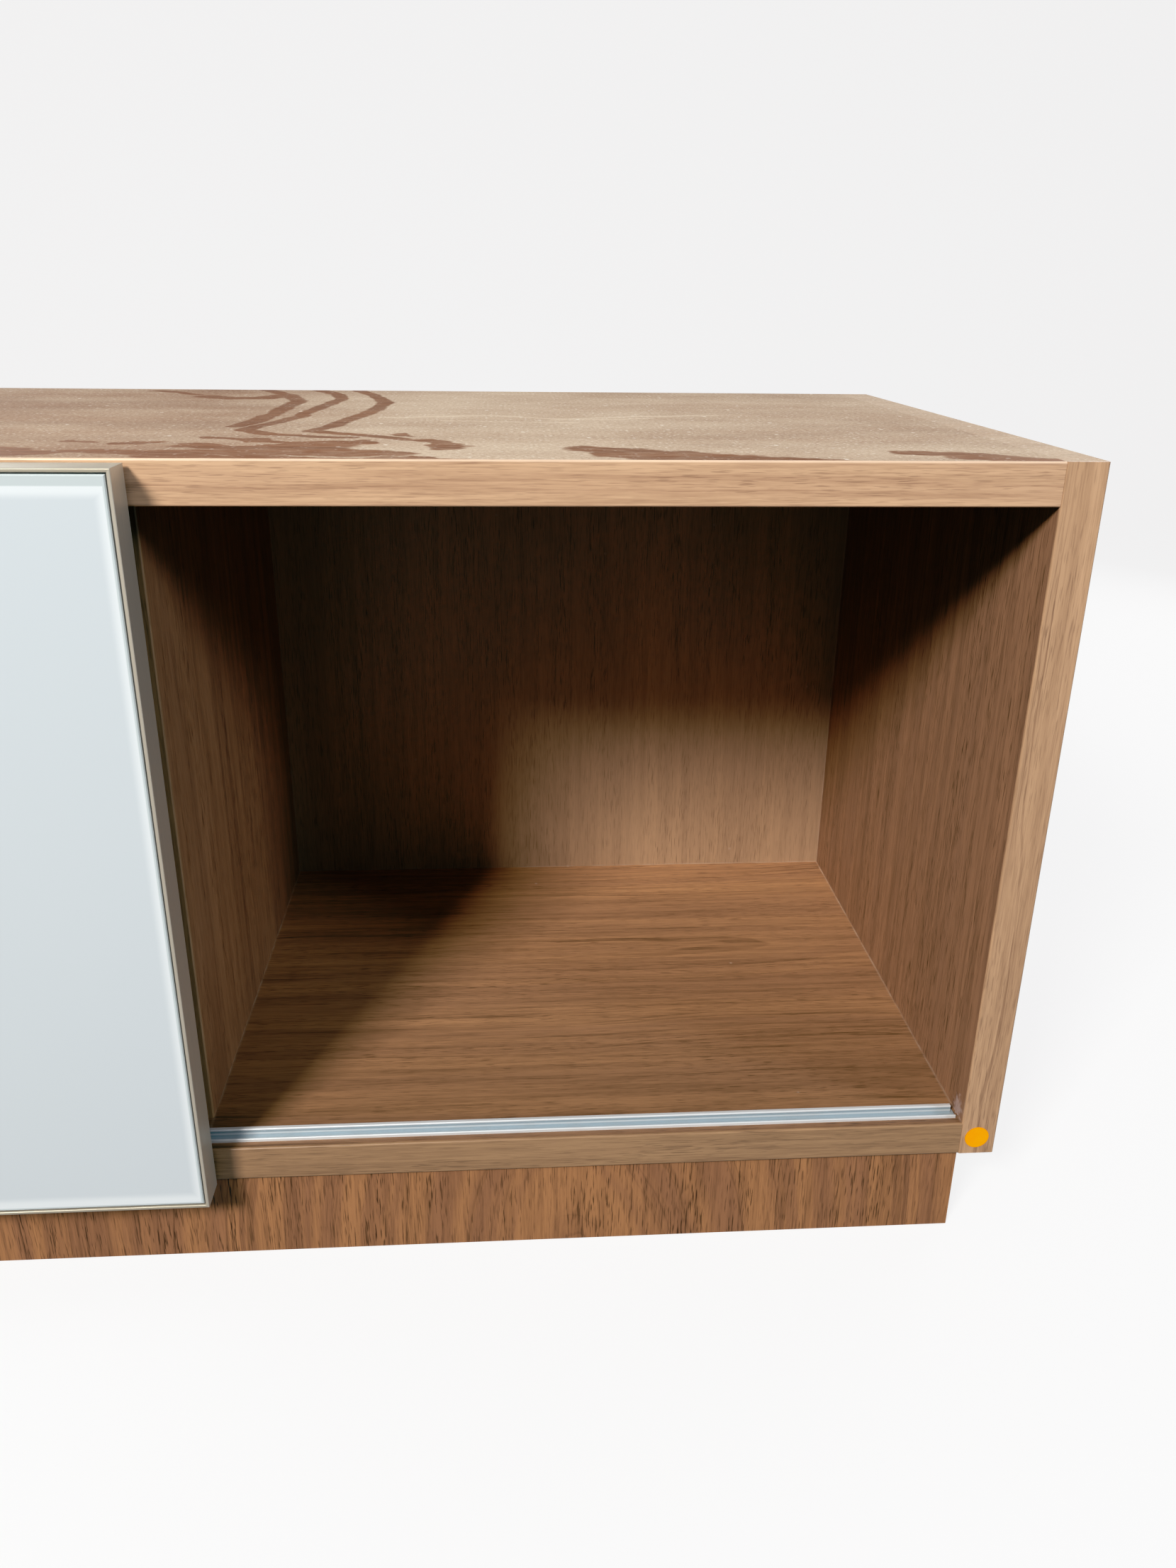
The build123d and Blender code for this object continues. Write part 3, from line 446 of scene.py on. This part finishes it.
# The pale, mauve and dark tones of the printed boards and of their edging
BOARD_TONES = (srgb(165, 125, 93), srgb(145, 110, 84), srgb(94, 67, 49))
BACK_TONES = (srgb(182, 150, 117), srgb(158, 130, 104), srgb(98, 76, 58))
TOP_TONES = (srgb(132, 88, 56), srgb(118, 79, 53), srgb(88, 58, 40))
FLOOR_TONES = (srgb(177, 134, 94), srgb(149, 112, 82), srgb(88, 62, 43))
PLINTH_TONES = (srgb(169, 121, 79), srgb(140, 99, 70), srgb(82, 54, 37))
# The edging is one material. Its three sets of tones are painted light and shade: the top edging is
# painted lightest, the side edging less, and the bottom and divider edging darkest.
TOP_EDGE_LIT_TONES = (srgb(214, 176, 138), srgb(190, 152, 119), srgb(132, 96, 70))
SIDE_EDGE_TONES = (srgb(198, 160, 123), srgb(178, 142, 107), srgb(126, 94, 68))
LOW_EDGE_SHADED_TONES = (srgb(168, 135, 98), srgb(148, 116, 84), srgb(100, 74, 51))

wall_planes = [("Z", bay_floor), ("Y", back_face)]
bay_sides = [("X", right_low.x), ("X", divider_high.x)]
left_bay_sides = [("X", divider_low.x), ("X", left_high.x)]

paint(
    board_material(
        "walnut_bay_floor", "XYZ", 3.0, FLOOR_TONES,
        bay_sides + left_bay_sides + [("Y", back_face)],
        face=("Z", bay_floor), tone_change=painted_floor_shade_and_sheen,
        heart=(0.03, -0.03), lean=0.10, pitch=0.022, figure=0.6, lines=0.5, pores=0.6,
    ),
    "bottom_panel",
)
paint(
    board_material(
        "walnut_back", "ZXY", 8.0, BACK_TONES, bay_sides + [("Z", bay_floor)],
        face=("Y", back_face),
        heart=(0.26, 0.04), lean=0.16, pitch=0.035, figure=0.35, lines=0.12, pores=0.45,
        strength=0.5,
    ),
    "back_panel",
)
paint(
    board_material(
        "walnut_right_side", "ZYX", 14.0, BOARD_TONES, wall_planes,
        dusty_top_with_painted_light=True, face=("X", right_low.x), tone_change=track_scuff,
        heart=(-0.75, 0.3), lean=0.03, pitch=0.02, figure=0.6, lines=0.3, pores=0.8,
    ),
    "right_side_panel",
)
paint(
    board_material(
        "walnut_left_side", "ZYX", 19.0, BOARD_TONES, wall_planes,
        dusty_top_with_painted_light=True, face=("X", left_high.x),
        heart=(0.1, 0.1), lean=0.06, pitch=0.05, figure=0.8, lines=0.2, pores=0.45,
    ),
    "left_side_panel",
)
paint(
    board_material(
        "walnut_divider", "ZYX", 24.0, BOARD_TONES, wall_planes,
        heart=(-0.6, 0.2), lean=0.04, pitch=0.02, figure=0.6, lines=0.3, pores=0.8,
    ),
    "center_divider",
)
EDGE_BANDS = (
    ("top_edge_band", "XZY", TOP_EDGE_LIT_TONES, painted_arris_highlight),
    ("bottom_edge_band", "XZY", LOW_EDGE_SHADED_TONES, None),
    ("left_edge_band", "ZXY", SIDE_EDGE_TONES, None),
    ("right_edge_band", "ZXY", SIDE_EDGE_TONES, None),
    ("divider_edge_band", "ZXY", LOW_EDGE_SHADED_TONES, None),
)
for index, (name, order, tones, tone_change) in enumerate(EDGE_BANDS):
    paint(
        board_material(
            f"walnut_{name}", order, 30.0 + 4 * index, tones,
            gloss=0.36, shine=0.5, tone_change=tone_change,
            heart=(0.15, 0.05), lean=0.04, pitch=0.014, figure=0.5, lines=0.5, pores=0.45,
        ),
        name,
    )
PLINTH_BOARDS = (
    ("plinth_front", "ZXY"),
    ("plinth_rear", "ZXY"),
    ("plinth_cross_rail", "ZYX"),
    ("plinth_left", "ZYX"),
    ("plinth_right", "ZYX"),
)
for index, (name, order) in enumerate(PLINTH_BOARDS):
    paint(
        board_material(
            f"walnut_{name}", order, 47.0 + 3 * index, PLINTH_TONES,
            heart=(0.30, 0.01), lean=0.5, pitch=0.014, figure=0.75, lines=0.5, pores=0.95,
        ),
        name,
    )


# ---------------------------------------------------------------- the dusty, wiped top
WIPE_EDGE = (1.15, 0.75)  # where a wipe begins and is whole, as shares of its half width
GENTLE_WANDER = (0.012, 0.02, 0.0)
ROUGH_WANDER = (0.05, 0.05, 0.0)


def stroke_group():
    """A node group that adds one straight wipe to a trail.

    A trail is a point on the top, X and Y, whose Z carries the mask of the wipes so far.
    """
    group = bpy.data.node_groups.new("wipe_stroke", "ShaderNodeTree")
    for name, kind in (
        ("Trail", "NodeSocketVector"),
        ("Start", "NodeSocketVector"),
        ("End", "NodeSocketVector"),
        ("Width", "NodeSocketFloat"),
    ):
        group.interface.new_socket(name, in_out="INPUT", socket_type=kind)
    group.interface.new_socket("Trail", in_out="OUTPUT", socket_type="NodeSocketVector")
    graph = Graph(group)
    given = graph.add("NodeGroupInput").outputs
    trail = given["Trail"]
    point = graph.vector("MULTIPLY", trail, (1.0, 1.0, 0.0))
    run = graph.vector("SUBTRACT", given["End"], given["Start"])
    reach = graph.vector("SUBTRACT", point, given["Start"])
    share = graph.math("DIVIDE", graph.dot(reach, run), graph.dot(run, run), clamp=True)
    nearest = graph.add("ShaderNodeVectorMath", {0: run, "Scale": share}, operation="SCALE")
    gap = graph.length(graph.vector("SUBTRACT", reach, nearest.outputs[0]))
    half_widths = graph.math("DIVIDE", gap, given["Width"])
    mask = graph.fit(half_widths, *WIPE_EDGE, smooth=True)
    most = graph.math("MAXIMUM", graph.part(trail, 2), mask)
    carried = graph.join(graph.part(trail, 0), graph.part(trail, 1), most)
    graph.add("NodeGroupOutput", {"Trail": carried})
    return group


# Wipes in the dust of the top: points in millimetres, X from the middle of the divider and
# Y from the middle of the depth, and each wipe's half width
CURVED_WIPES = (
    (((10, 283), (45, 215), (60, 150), (60, 50), (58, -20), (50, -72)), 8),
    (((60, 288), (88, 230), (96, 170), (90, 110), (84, 10), (60, -97), (82, -122), (140, -141)), 7),
    (((98, 292), (124, 220), (140, 145), (136, 50), (120, -54), (108, -100), (140, -120),
      (176, -148)), 7),
)
REAR_WIPES = (
    (((-92, 262), (-44, 222)), 7),
    (((-30, 196), (-4, 178), (22, 184), (38, 214)), 15),
)
FRONT_WIPES = (
    (((20, -251), (120, -252), (236, -256)), 7),
    (((50, -146), (68, -152), (107, -170), (141, -174)), 8),
    (((46, -190), (72, -198), (100, -190), (122, -180)), 13),
    (((40, -232), (80, -224), (108, -204), (134, -184)), 19),
    (((92, -232), (141, -218), (176, -230)), 20),
    (((128, -188), (150, -172)), 9),
    (((189, -153), (204, -170), (214, -203)), 9),
    (((171, -117), (179, -126)), 8),
    (((-70, -236), (-19, -222), (10, -224), (38, -240)), 13),
    (((-90, -206), (-45, -214)), 8),
    (((-37, -171), (-26, -171)), 8),
    (((-4, -178), (12, -175)), 7),
    (((294, -200), (330, -214), (378, -236), (436, -262)), 17),
    (((306, -228), (350, -248), (430, -264)), 16),
    (((512, -212), (545, -226), (585, -252)), 15),
    (((530, -240), (570, -258)), 13),
)
PALE_STREAKS = (
    (((150, 2), (232, 24), (304, -6), (360, 8)), 4),
    (((284, -8), (350, 22), (420, 36)), 4),
    (((200, -20), (300, -30)), 3),
)


def wipe_mask(graph, wipes, group, point):
    """Where the dust was wiped along these strokes, for a point with no height."""
    trail = point
    for points, half_width in wipes:
        for (x0, y0), (x1, y1) in zip(points, points[1:]):
            inputs = {
                "Trail": trail,
                "Start": (x0 * MM, y0 * MM, 0.0),
                "End": (x1 * MM, y1 * MM, 0.0),
                "Width": half_width * MM,
            }
            trail = graph.add("ShaderNodeGroup", inputs, node_tree=group).outputs["Trail"]
    return graph.part(trail, 2)


def top_material():
    """The top: walnut under a film of dust whose spread is partly painted light, with wiped strokes
    and settled specks.
    """
    graph = MaterialGraph("walnut_dusty_top")
    colour, height = walnut(
        graph, "XYZ", 66.0, TOP_TONES,
        heart=(0.1, 0.08), lean=0.08, pitch=0.05, figure=0.6, lines=0.3, pores=0.3,
    )
    group = stroke_group()
    # the wipes' edges wander, most of all at the front
    inputs = {"Vector": graph.point, "Scale": 26.0, "Detail": 3.0}
    wobble = graph.add("ShaderNodeTexNoise", inputs)
    shift = graph.vector("SUBTRACT", wobble.outputs["Color"], (0.5, 0.5, 0.5))
    flat = graph.vector("MULTIPLY", graph.point, (1.0, 1.0, 0.0))
    gentle = graph.vector("ADD", flat, graph.vector("MULTIPLY", shift, GENTLE_WANDER))
    rough = graph.vector("ADD", flat, graph.vector("MULTIPLY", shift, ROUGH_WANDER))
    wiped = wipe_mask(graph, CURVED_WIPES + REAR_WIPES, group, gentle)
    wiped = graph.math("MAXIMUM", wiped, wipe_mask(graph, FRONT_WIPES, group, rough))
    smear = graph.noise(graph.point, (60.0, 160.0, 1.0), 71.0, detail=4.0, roughness=0.65)
    wiped = graph.math("MULTIPLY", wiped, graph.fit(smear, 0.30, 0.60, 0.66, 1.0), clamp=True)
    pale = wipe_mask(graph, PALE_STREAKS, group, gentle)
    colour, roughness, relief = dust_film_and_painted_light_pool(graph, colour, height, wiped, pale)
    normal = graph.bump(relief, 0.12 * MM, 0.7)
    return graph.finish(colour, roughness, normal, IOR=1.5, Specular_IOR_Level=0.08)


paint(top_material(), "top_panel")


# ---------------------------------------------------------------- glass and metals
GLASS_FIELD = srgb(208, 218, 221)
GLASS_CLOUD = srgb(205, 215, 219)
# the colour of the painted reflection along the glass's edges
GLASS_EDGE_REFLECTION = srgb(230, 237, 238)
GLASS_RIM = srgb(198, 210, 210)
GLASS_DUST = srgb(160, 150, 140)
CHAMPAGNE = srgb(186, 180, 160)
PALE_CHAMPAGNE = srgb(204, 198, 180)
TRACK_SILVER = srgb(228, 233, 233)
# the colour of the painted shade on the track's flanks
TRACK_FLANK_SHADE = srgb(158, 176, 184)
TRACK_LINE = srgb(140, 150, 156)
TRACK_DUST = srgb(150, 146, 138)


def glass_material():
    """Back-painted glass: a pale field, a painted reflection as a bright line near the rim, and a
    greenish rim.
    """
    graph = MaterialGraph("white_back_painted_glass")
    x = graph.part(graph.point, 0)
    z = graph.part(graph.point, 2)
    from_right = graph.math("SUBTRACT", glass_high.x, x)
    from_left = graph.math("SUBTRACT", x, glass_low.x)
    from_side = graph.math("MINIMUM", from_right, from_left)
    from_top = graph.math("SUBTRACT", glass_high.z, z)
    from_bottom = graph.math("SUBTRACT", z, glass_low.z)
    cloud = graph.noise(graph.point, (3.0, 3.0, 2.2), 91.0, detail=3.0)
    colour = graph.mix(graph.fit(cloud, 0.3, 0.7, 0.0, 0.5), GLASS_FIELD, GLASS_CLOUD)
    # painted reflection: a bright band inside each edge, where light bounces within the glass's
    # edge
    edge_reflections = (
        graph.fit(from_top, 15.0 * MM, 9.0 * MM, smooth=True),
        graph.fit(from_side, 9.0 * MM, 2.0 * MM, smooth=True),
        graph.fit(from_bottom, 12.0 * MM, 5.0 * MM, smooth=True),
    )
    colour = graph.mix(graph.largest(edge_reflections), colour, GLASS_EDGE_REFLECTION)
    rims = (
        graph.fit(from_top, 7.0 * MM, 6.0 * MM, smooth=True),
        graph.fit(from_side, 2.4 * MM, 1.6 * MM, smooth=True),
        graph.fit(from_bottom, 2.4 * MM, 1.6 * MM, smooth=True),
    )
    colour = graph.mix(graph.largest(rims), colour, GLASS_RIM)
    dust = graph.specks(graph.point, 40.0, 0.05, 0.06)
    colour = graph.mix(graph.math("MULTIPLY", dust, 0.3), colour, GLASS_DUST)
    smear = graph.noise(graph.point, (9.0, 9.0, 3.0), 95.0, detail=4.0, distortion=0.6)
    roughness = graph.fit(smear, 0.3, 0.7, 0.10, 0.24)
    return graph.finish(colour, roughness, IOR=1.5, Coat_Weight=0.3, Coat_Roughness=0.06)


def brushed_material(name, colour, order, roughness, seed, metal=1.0, tone_change=0.3):
    """Anodised metal with fine lines along its length, handling marks and dull dust."""
    graph = MaterialGraph(name)
    grain = graph.along(order)
    lines = graph.noise(grain, (9.0, 2600.0, 2600.0), seed, detail=2.0, roughness=0.7)
    broad = graph.noise(graph.point, (14.0, 14.0, 14.0), seed + 4.0, detail=4.0)
    worn = graph.fit(broad, 0.35, 0.8, 0.0, tone_change)
    dull = (colour[0] * 0.62, colour[1] * 0.60, colour[2] * 0.56, 1.0)
    shade = graph.mix(worn, colour, dull)
    shade = graph.mix(graph.fit(lines, 0.3, 0.7, 0.0, 0.22), shade, dull)
    gloss = graph.math("ADD", graph.fit(lines, 0.25, 0.75, -0.05, 0.07), roughness)
    gloss = graph.math("ADD", gloss, graph.math("MULTIPLY", worn, 0.35))
    normal = graph.bump(lines, 0.02 * MM, 0.5)
    return graph.finish(shade, gloss, normal, Metallic=metal)


def track_material():
    """The aluminium track: painted highlights on its ribs' tops and front lip above painted shade
    on its flanks, with brushed lines and dust.
    """
    graph = MaterialGraph("track_silver")
    lines = graph.noise(graph.point, (6.0, 1800.0, 1800.0), 129.0, detail=2.0)
    broad = graph.noise(graph.point, (30.0, 60.0, 60.0), 133.0, detail=3.0)
    height = graph.math("SUBTRACT", graph.part(graph.point, 2), bay_floor)
    front = graph.math("SUBTRACT", graph.part(graph.point, 1), track_low.y)
    # worn holds painted highlights on the ribs' tops, a band on the flank and the front lip; the
    # rest of the track is painted shade
    worn = (
        graph.fit(height, 5.6 * MM, 6.4 * MM, smooth=True),
        graph.fit(front, 1.9 * MM, 1.4 * MM, smooth=True),
        graph.math(
            "MULTIPLY",
            graph.fit(height, 2.2 * MM, 3.0 * MM, smooth=True),
            graph.fit(height, 4.4 * MM, 3.6 * MM, 0.0, 0.75, smooth=True),
        ),
    )
    colour = graph.mix(graph.largest(worn), TRACK_FLANK_SHADE, TRACK_SILVER)
    colour = graph.mix(graph.fit(lines, 0.3, 0.7, 0.0, 0.16), colour, TRACK_LINE)
    colour = graph.mix(graph.fit(broad, 0.45, 0.8, 0.0, 0.2), colour, TRACK_DUST)
    roughness = graph.fit(broad, 0.3, 0.7, 0.36, 0.50)
    normal = graph.bump(lines, 0.02 * MM, 0.5)
    return graph.finish(colour, roughness, normal, Metallic=0.3)


def speckled_metal(name, light, dark, roughness, seed, per_metre=900.0):
    """Plated or cast metal: a fine crystalline mottle with rubbed spots."""
    graph = MaterialGraph(name)
    grains = graph.noise(graph.point, (per_metre,) * 3, seed, detail=3.0, roughness=0.65)
    rubbed = graph.noise(graph.point, (120.0,) * 3, seed + 5.0, detail=3.0)
    colour = graph.mix(graph.fit(grains, 0.3, 0.7), light, dark)
    colour = graph.mix(graph.fit(rubbed, 0.55, 0.8, 0.0, 0.5), colour, light)
    gloss = graph.fit(rubbed, 0.3, 0.75, roughness + 0.12, roughness - 0.06)
    normal = graph.bump(grains, 0.04 * MM, 0.6)
    return graph.finish(colour, gloss, normal, Metallic=1.0)


def moulded_material(name, light, dark, roughness, seed, per_metre=700.0, relief=0.05):
    """Moulded plastic, rubber or foam: a fine even skin with scuffs and settled dirt."""
    graph = MaterialGraph(name)
    skin = graph.noise(graph.point, (per_metre,) * 3, seed, detail=3.0, roughness=0.6)
    dirt = graph.noise(graph.point, (70.0,) * 3, seed + 6.0, detail=4.0, roughness=0.6)
    colour = graph.mix(graph.fit(dirt, 0.42, 0.78), light, dark)
    colour = graph.mix(graph.fit(skin, 0.3, 0.8, 0.0, 0.2), colour, dark)
    gloss = graph.fit(dirt, 0.3, 0.75, roughness - 0.05, roughness + 0.15)
    normal = graph.bump(skin, relief * MM, 0.7)
    return graph.finish(colour, gloss, normal)


def beech_material():
    """Beech: pale, with short dark ray flecks."""
    graph = MaterialGraph("beech_dowel_and_block")
    fibre = graph.noise(graph.point, (700.0, 700.0, 40.0), 101.0, detail=3.0)
    fleck = graph.noise(graph.point, (900.0, 900.0, 160.0), 104.0, detail=1.0)
    colour = graph.mix(graph.fit(fibre, 0.25, 0.75), srgb(206, 170, 128), srgb(178, 138, 98))
    colour = graph.mix(graph.fit(fleck, 0.62, 0.72, 0.0, 0.7), colour, srgb(128, 88, 58))
    normal = graph.bump(fibre, 0.05 * MM, 0.7)
    return graph.finish(colour, 0.62, normal)


def sticker_material():
    """A bright paper dot with a slightly glossy print and a worn rim."""
    graph = MaterialGraph("orange_paper_dot")
    low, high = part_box("marker_dot")
    centre = (low + high) / 2
    reach = graph.vector("SUBTRACT", graph.point, tuple(centre))
    width = high.x - low.x
    rim = graph.fit(graph.length(reach), width * 0.46, width * 0.5)
    paper = graph.noise(graph.point, (1500.0,) * 3, 111.0, detail=3.0)
    fade = graph.noise(graph.point, (60.0,) * 3, 113.0, detail=2.0)
    colour = graph.mix(graph.fit(fade, 0.3, 0.7), srgb(255, 172, 0), srgb(255, 160, 0))
    colour = graph.mix(graph.fit(paper, 0.4, 0.9, 0.0, 0.25), colour, srgb(255, 186, 40))
    colour = graph.mix(graph.math("MULTIPLY", rim, 0.4), colour, srgb(206, 116, 8))
    normal = graph.bump(paper, 0.03 * MM, 0.5)
    return graph.finish(colour, 0.6, normal, Specular_IOR_Level=0.15)


paint(glass_material(), "door_glass")
paint(
    brushed_material("champagne_across", CHAMPAGNE, "XYZ", 0.40, 121.0, metal=0.45),
    "door_frame_top", "door_frame_bottom",
)
paint(
    brushed_material("champagne_upright", PALE_CHAMPAGNE, "ZXY", 0.40, 125.0, metal=0.45),
    "door_frame_left", "door_frame_right",
)
paint(track_material(), "lower_track")
paint(
    brushed_material("guide_track_silver", TRACK_SILVER, "XYZ", 0.42, 129.0, metal=0.5),
    "upper_guide_track",
)
paint(
    speckled_metal("zinc_plated_steel", srgb(196, 198, 200), srgb(150, 152, 158), 0.30, 133.0),
    "back_brackets", "back_bracket_screws", "plinth_block_screws", "plinth_board_screws",
    "upper_track_screws", "bracket_screws", "guide_shoe_screws", "door_corner_screws",
    "left_roller_bracket", "right_roller_bracket", "left_guide_bracket",
    "right_guide_bracket", "left_roller_axle", "right_roller_axle", "roller_spacers",
    "cam_bolts",
)
paint(
    speckled_metal("cast_zinc", srgb(170, 172, 174), srgb(120, 122, 126), 0.42, 137.0, 500.0),
    "cam_housings", "door_corner_keys",
)
paint(
    speckled_metal("bearing_steel", srgb(206, 208, 210), srgb(168, 170, 176), 0.18, 141.0),
    "left_roller_bearing", "right_roller_bearing",
)
paint(
    moulded_material("white_nylon", srgb(226, 224, 216), srgb(172, 166, 152), 0.38, 145.0),
    "left_roller", "right_roller", "left_guide_shoe", "right_guide_shoe", "track_end_stops",
)
paint(
    moulded_material(
        "black_rubber", srgb(38, 37, 36), srgb(66, 64, 60), 0.70, 149.0,
        per_metre=500.0, relief=0.1,
    ),
    "end_stop_bumpers",
)
paint(
    moulded_material("grey_gasket", srgb(96, 96, 94), srgb(60, 58, 55), 0.62, 153.0),
    "door_edge_gasket",
)
paint(
    moulded_material(
        "foam_tape", srgb(222, 222, 218), srgb(180, 178, 172), 0.85, 157.0,
        per_metre=900.0, relief=0.2,
    ),
    "door_glass_tape",
)
paint(beech_material(), "wood_dowels", "plinth_dowels", "plinth_corner_blocks")
paint(sticker_material(), "marker_dot")


# ---------------------------------------------------------------- studio
def studio_sweep():
    """A pale floor that curves up into a backdrop well behind the object.

    It lights nothing and nothing reflects it.
    """
    profile = [(SWEEP_FRONT, 0.0)]
    for step in range(SWEEP_STEPS + 1):
        angle = math.pi / 2 * step / SWEEP_STEPS
        y = SWEEP_REAR - SWEEP_RADIUS + SWEEP_RADIUS * math.sin(angle)
        z = SWEEP_RADIUS - SWEEP_RADIUS * math.cos(angle)
        profile.append((y, z))
    profile.append((SWEEP_REAR, SWEEP_HEIGHT))
    sides = (-SWEEP_HALF_WIDTH, SWEEP_HALF_WIDTH)
    vertices = [(x, y, z) for y, z in profile for x in sides]
    faces = [(2 * i, 2 * i + 1, 2 * i + 3, 2 * i + 2) for i in range(len(profile) - 1)]
    mesh = bpy.data.meshes.new("studio_sweep")
    mesh.from_pydata(vertices, [], faces)
    for face in mesh.polygons:
        face.use_smooth = True
    sweep = bpy.data.objects.new("studio_sweep", mesh)
    bpy.context.scene.collection.objects.link(sweep)
    graph = MaterialGraph("studio_paper")
    fibres = graph.noise(graph.point, (40.0, 40.0, 40.0), 161.0, detail=3.0)
    colour = graph.mix(graph.fit(fibres, 0.3, 0.7, 0.0, 0.1), PAPER, PAPER_FIBRE)
    glow = {"Emission_Color": (1.0, 1.0, 1.0, 1.0), "Emission_Strength": PAPER_GLOW}
    mesh.materials.append(graph.finish(colour, 0.9, Specular_IOR_Level=0.1, **glow))
    sweep.visible_diffuse = False
    sweep.visible_glossy = False


def area_light(name, place, target, size, power, colour=(1.0, 1.0, 1.0), shine=1.0):
    """A soft rectangular light at place, aimed at target. shine scales its highlights."""
    data = bpy.data.lights.new(name, "AREA")
    data.shape = "RECTANGLE"
    data.size, data.size_y = size
    data.energy = power
    data.color = colour
    data.specular_factor = shine
    light = bpy.data.objects.new(name, data)
    light.location = place
    aim = Vector(target) - Vector(place)
    light.rotation_euler = aim.to_track_quat("-Z", "Y").to_euler()
    bpy.context.scene.collection.objects.link(light)


def world_light():
    """Weak even light, a paler surround for reflections, and a pale background."""
    world = bpy.data.worlds.new("studio_world")
    world.use_nodes = True
    tree = world.node_tree
    tree.nodes.clear()
    ray = tree.nodes.new("ShaderNodeLightPath")
    out = tree.nodes.new("ShaderNodeOutputWorld")
    shown = tree.nodes.new("ShaderNodeBackground")
    shown.inputs[0].default_value = AMBIENT_COLOUR
    shown.inputs[1].default_value = AMBIENT
    for kind, colour, strength in (
        ("Is Glossy Ray", REFLECTED_COLOUR, REFLECTED),
        ("Is Camera Ray", BACKGROUND, 1.0),
    ):
        other = tree.nodes.new("ShaderNodeBackground")
        other.inputs[0].default_value = colour
        other.inputs[1].default_value = strength
        pick = tree.nodes.new("ShaderNodeMixShader")
        tree.links.new(ray.outputs[kind], pick.inputs[0])
        tree.links.new(shown.outputs[0], pick.inputs[1])
        tree.links.new(other.outputs[0], pick.inputs[2])
        shown = pick
    tree.links.new(shown.outputs[0], out.inputs[0])
    bpy.context.scene.world = world


def camera():
    """The camera at the photograph's viewing angle."""
    data = bpy.data.cameras.new("camera")
    data.sensor_width = CAMERA_SENSOR
    data.lens = CAMERA_LENS
    data.dof.use_dof = False
    seen = bpy.data.objects.new("camera", data)
    seen.location = CAMERA_PLACE
    seen.rotation_euler = Euler([math.radians(a) for a in CAMERA_TURN], "XYZ")
    bpy.context.scene.collection.objects.link(seen)
    bpy.context.scene.camera = seen


def show_dark_tones(settings):
    """The camera's deep shadows: a gentle toe below the mid tones."""
    settings.view_transform = "Standard"
    settings.look = "None"
    settings.exposure = 0.0
    settings.gamma = 1.0
    settings.use_curve_mapping = True
    curves = settings.curve_mapping.curves
    for curve, toe in ((curves[0], RED_TOE), (curves[3], SHADOW_TOE)):
        for value, shown in toe:
            curve.points.new(value, shown)
    settings.curve_mapping.update()


studio_sweep()
middle = (cad_low + cad_high) / 2
door_corner = Vector((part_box("door_frame_right")[1].x, cad_low.y, top_low.z))
key_place = door_corner + KEY_DISTANCE * Vector((KEY_SLOPE[0], -1.0, KEY_SLOPE[1]))
area_light("key", key_place, bay_middle, (KEY_SIZE, KEY_SIZE), KEY_POWER, KEY_COLOUR)
area_light("side", SIDE_PLACE, divider_low, SIDE_SIZE, SIDE_POWER, SIDE_COLOUR)
area_light("ceiling", CEILING_PLACE, middle, CEILING_SIZE, CEILING_POWER)
area_light("ceiling_front", FRONT_PLACE, bay_middle, FRONT_SIZE, FRONT_POWER)
for name, place in REAR_PLACES.items():
    area_light(name, place, middle, REAR_SIZE, REAR_POWER, shine=REAR_SHINE)
world_light()
camera()
show_dark_tones(bpy.context.scene.view_settings)
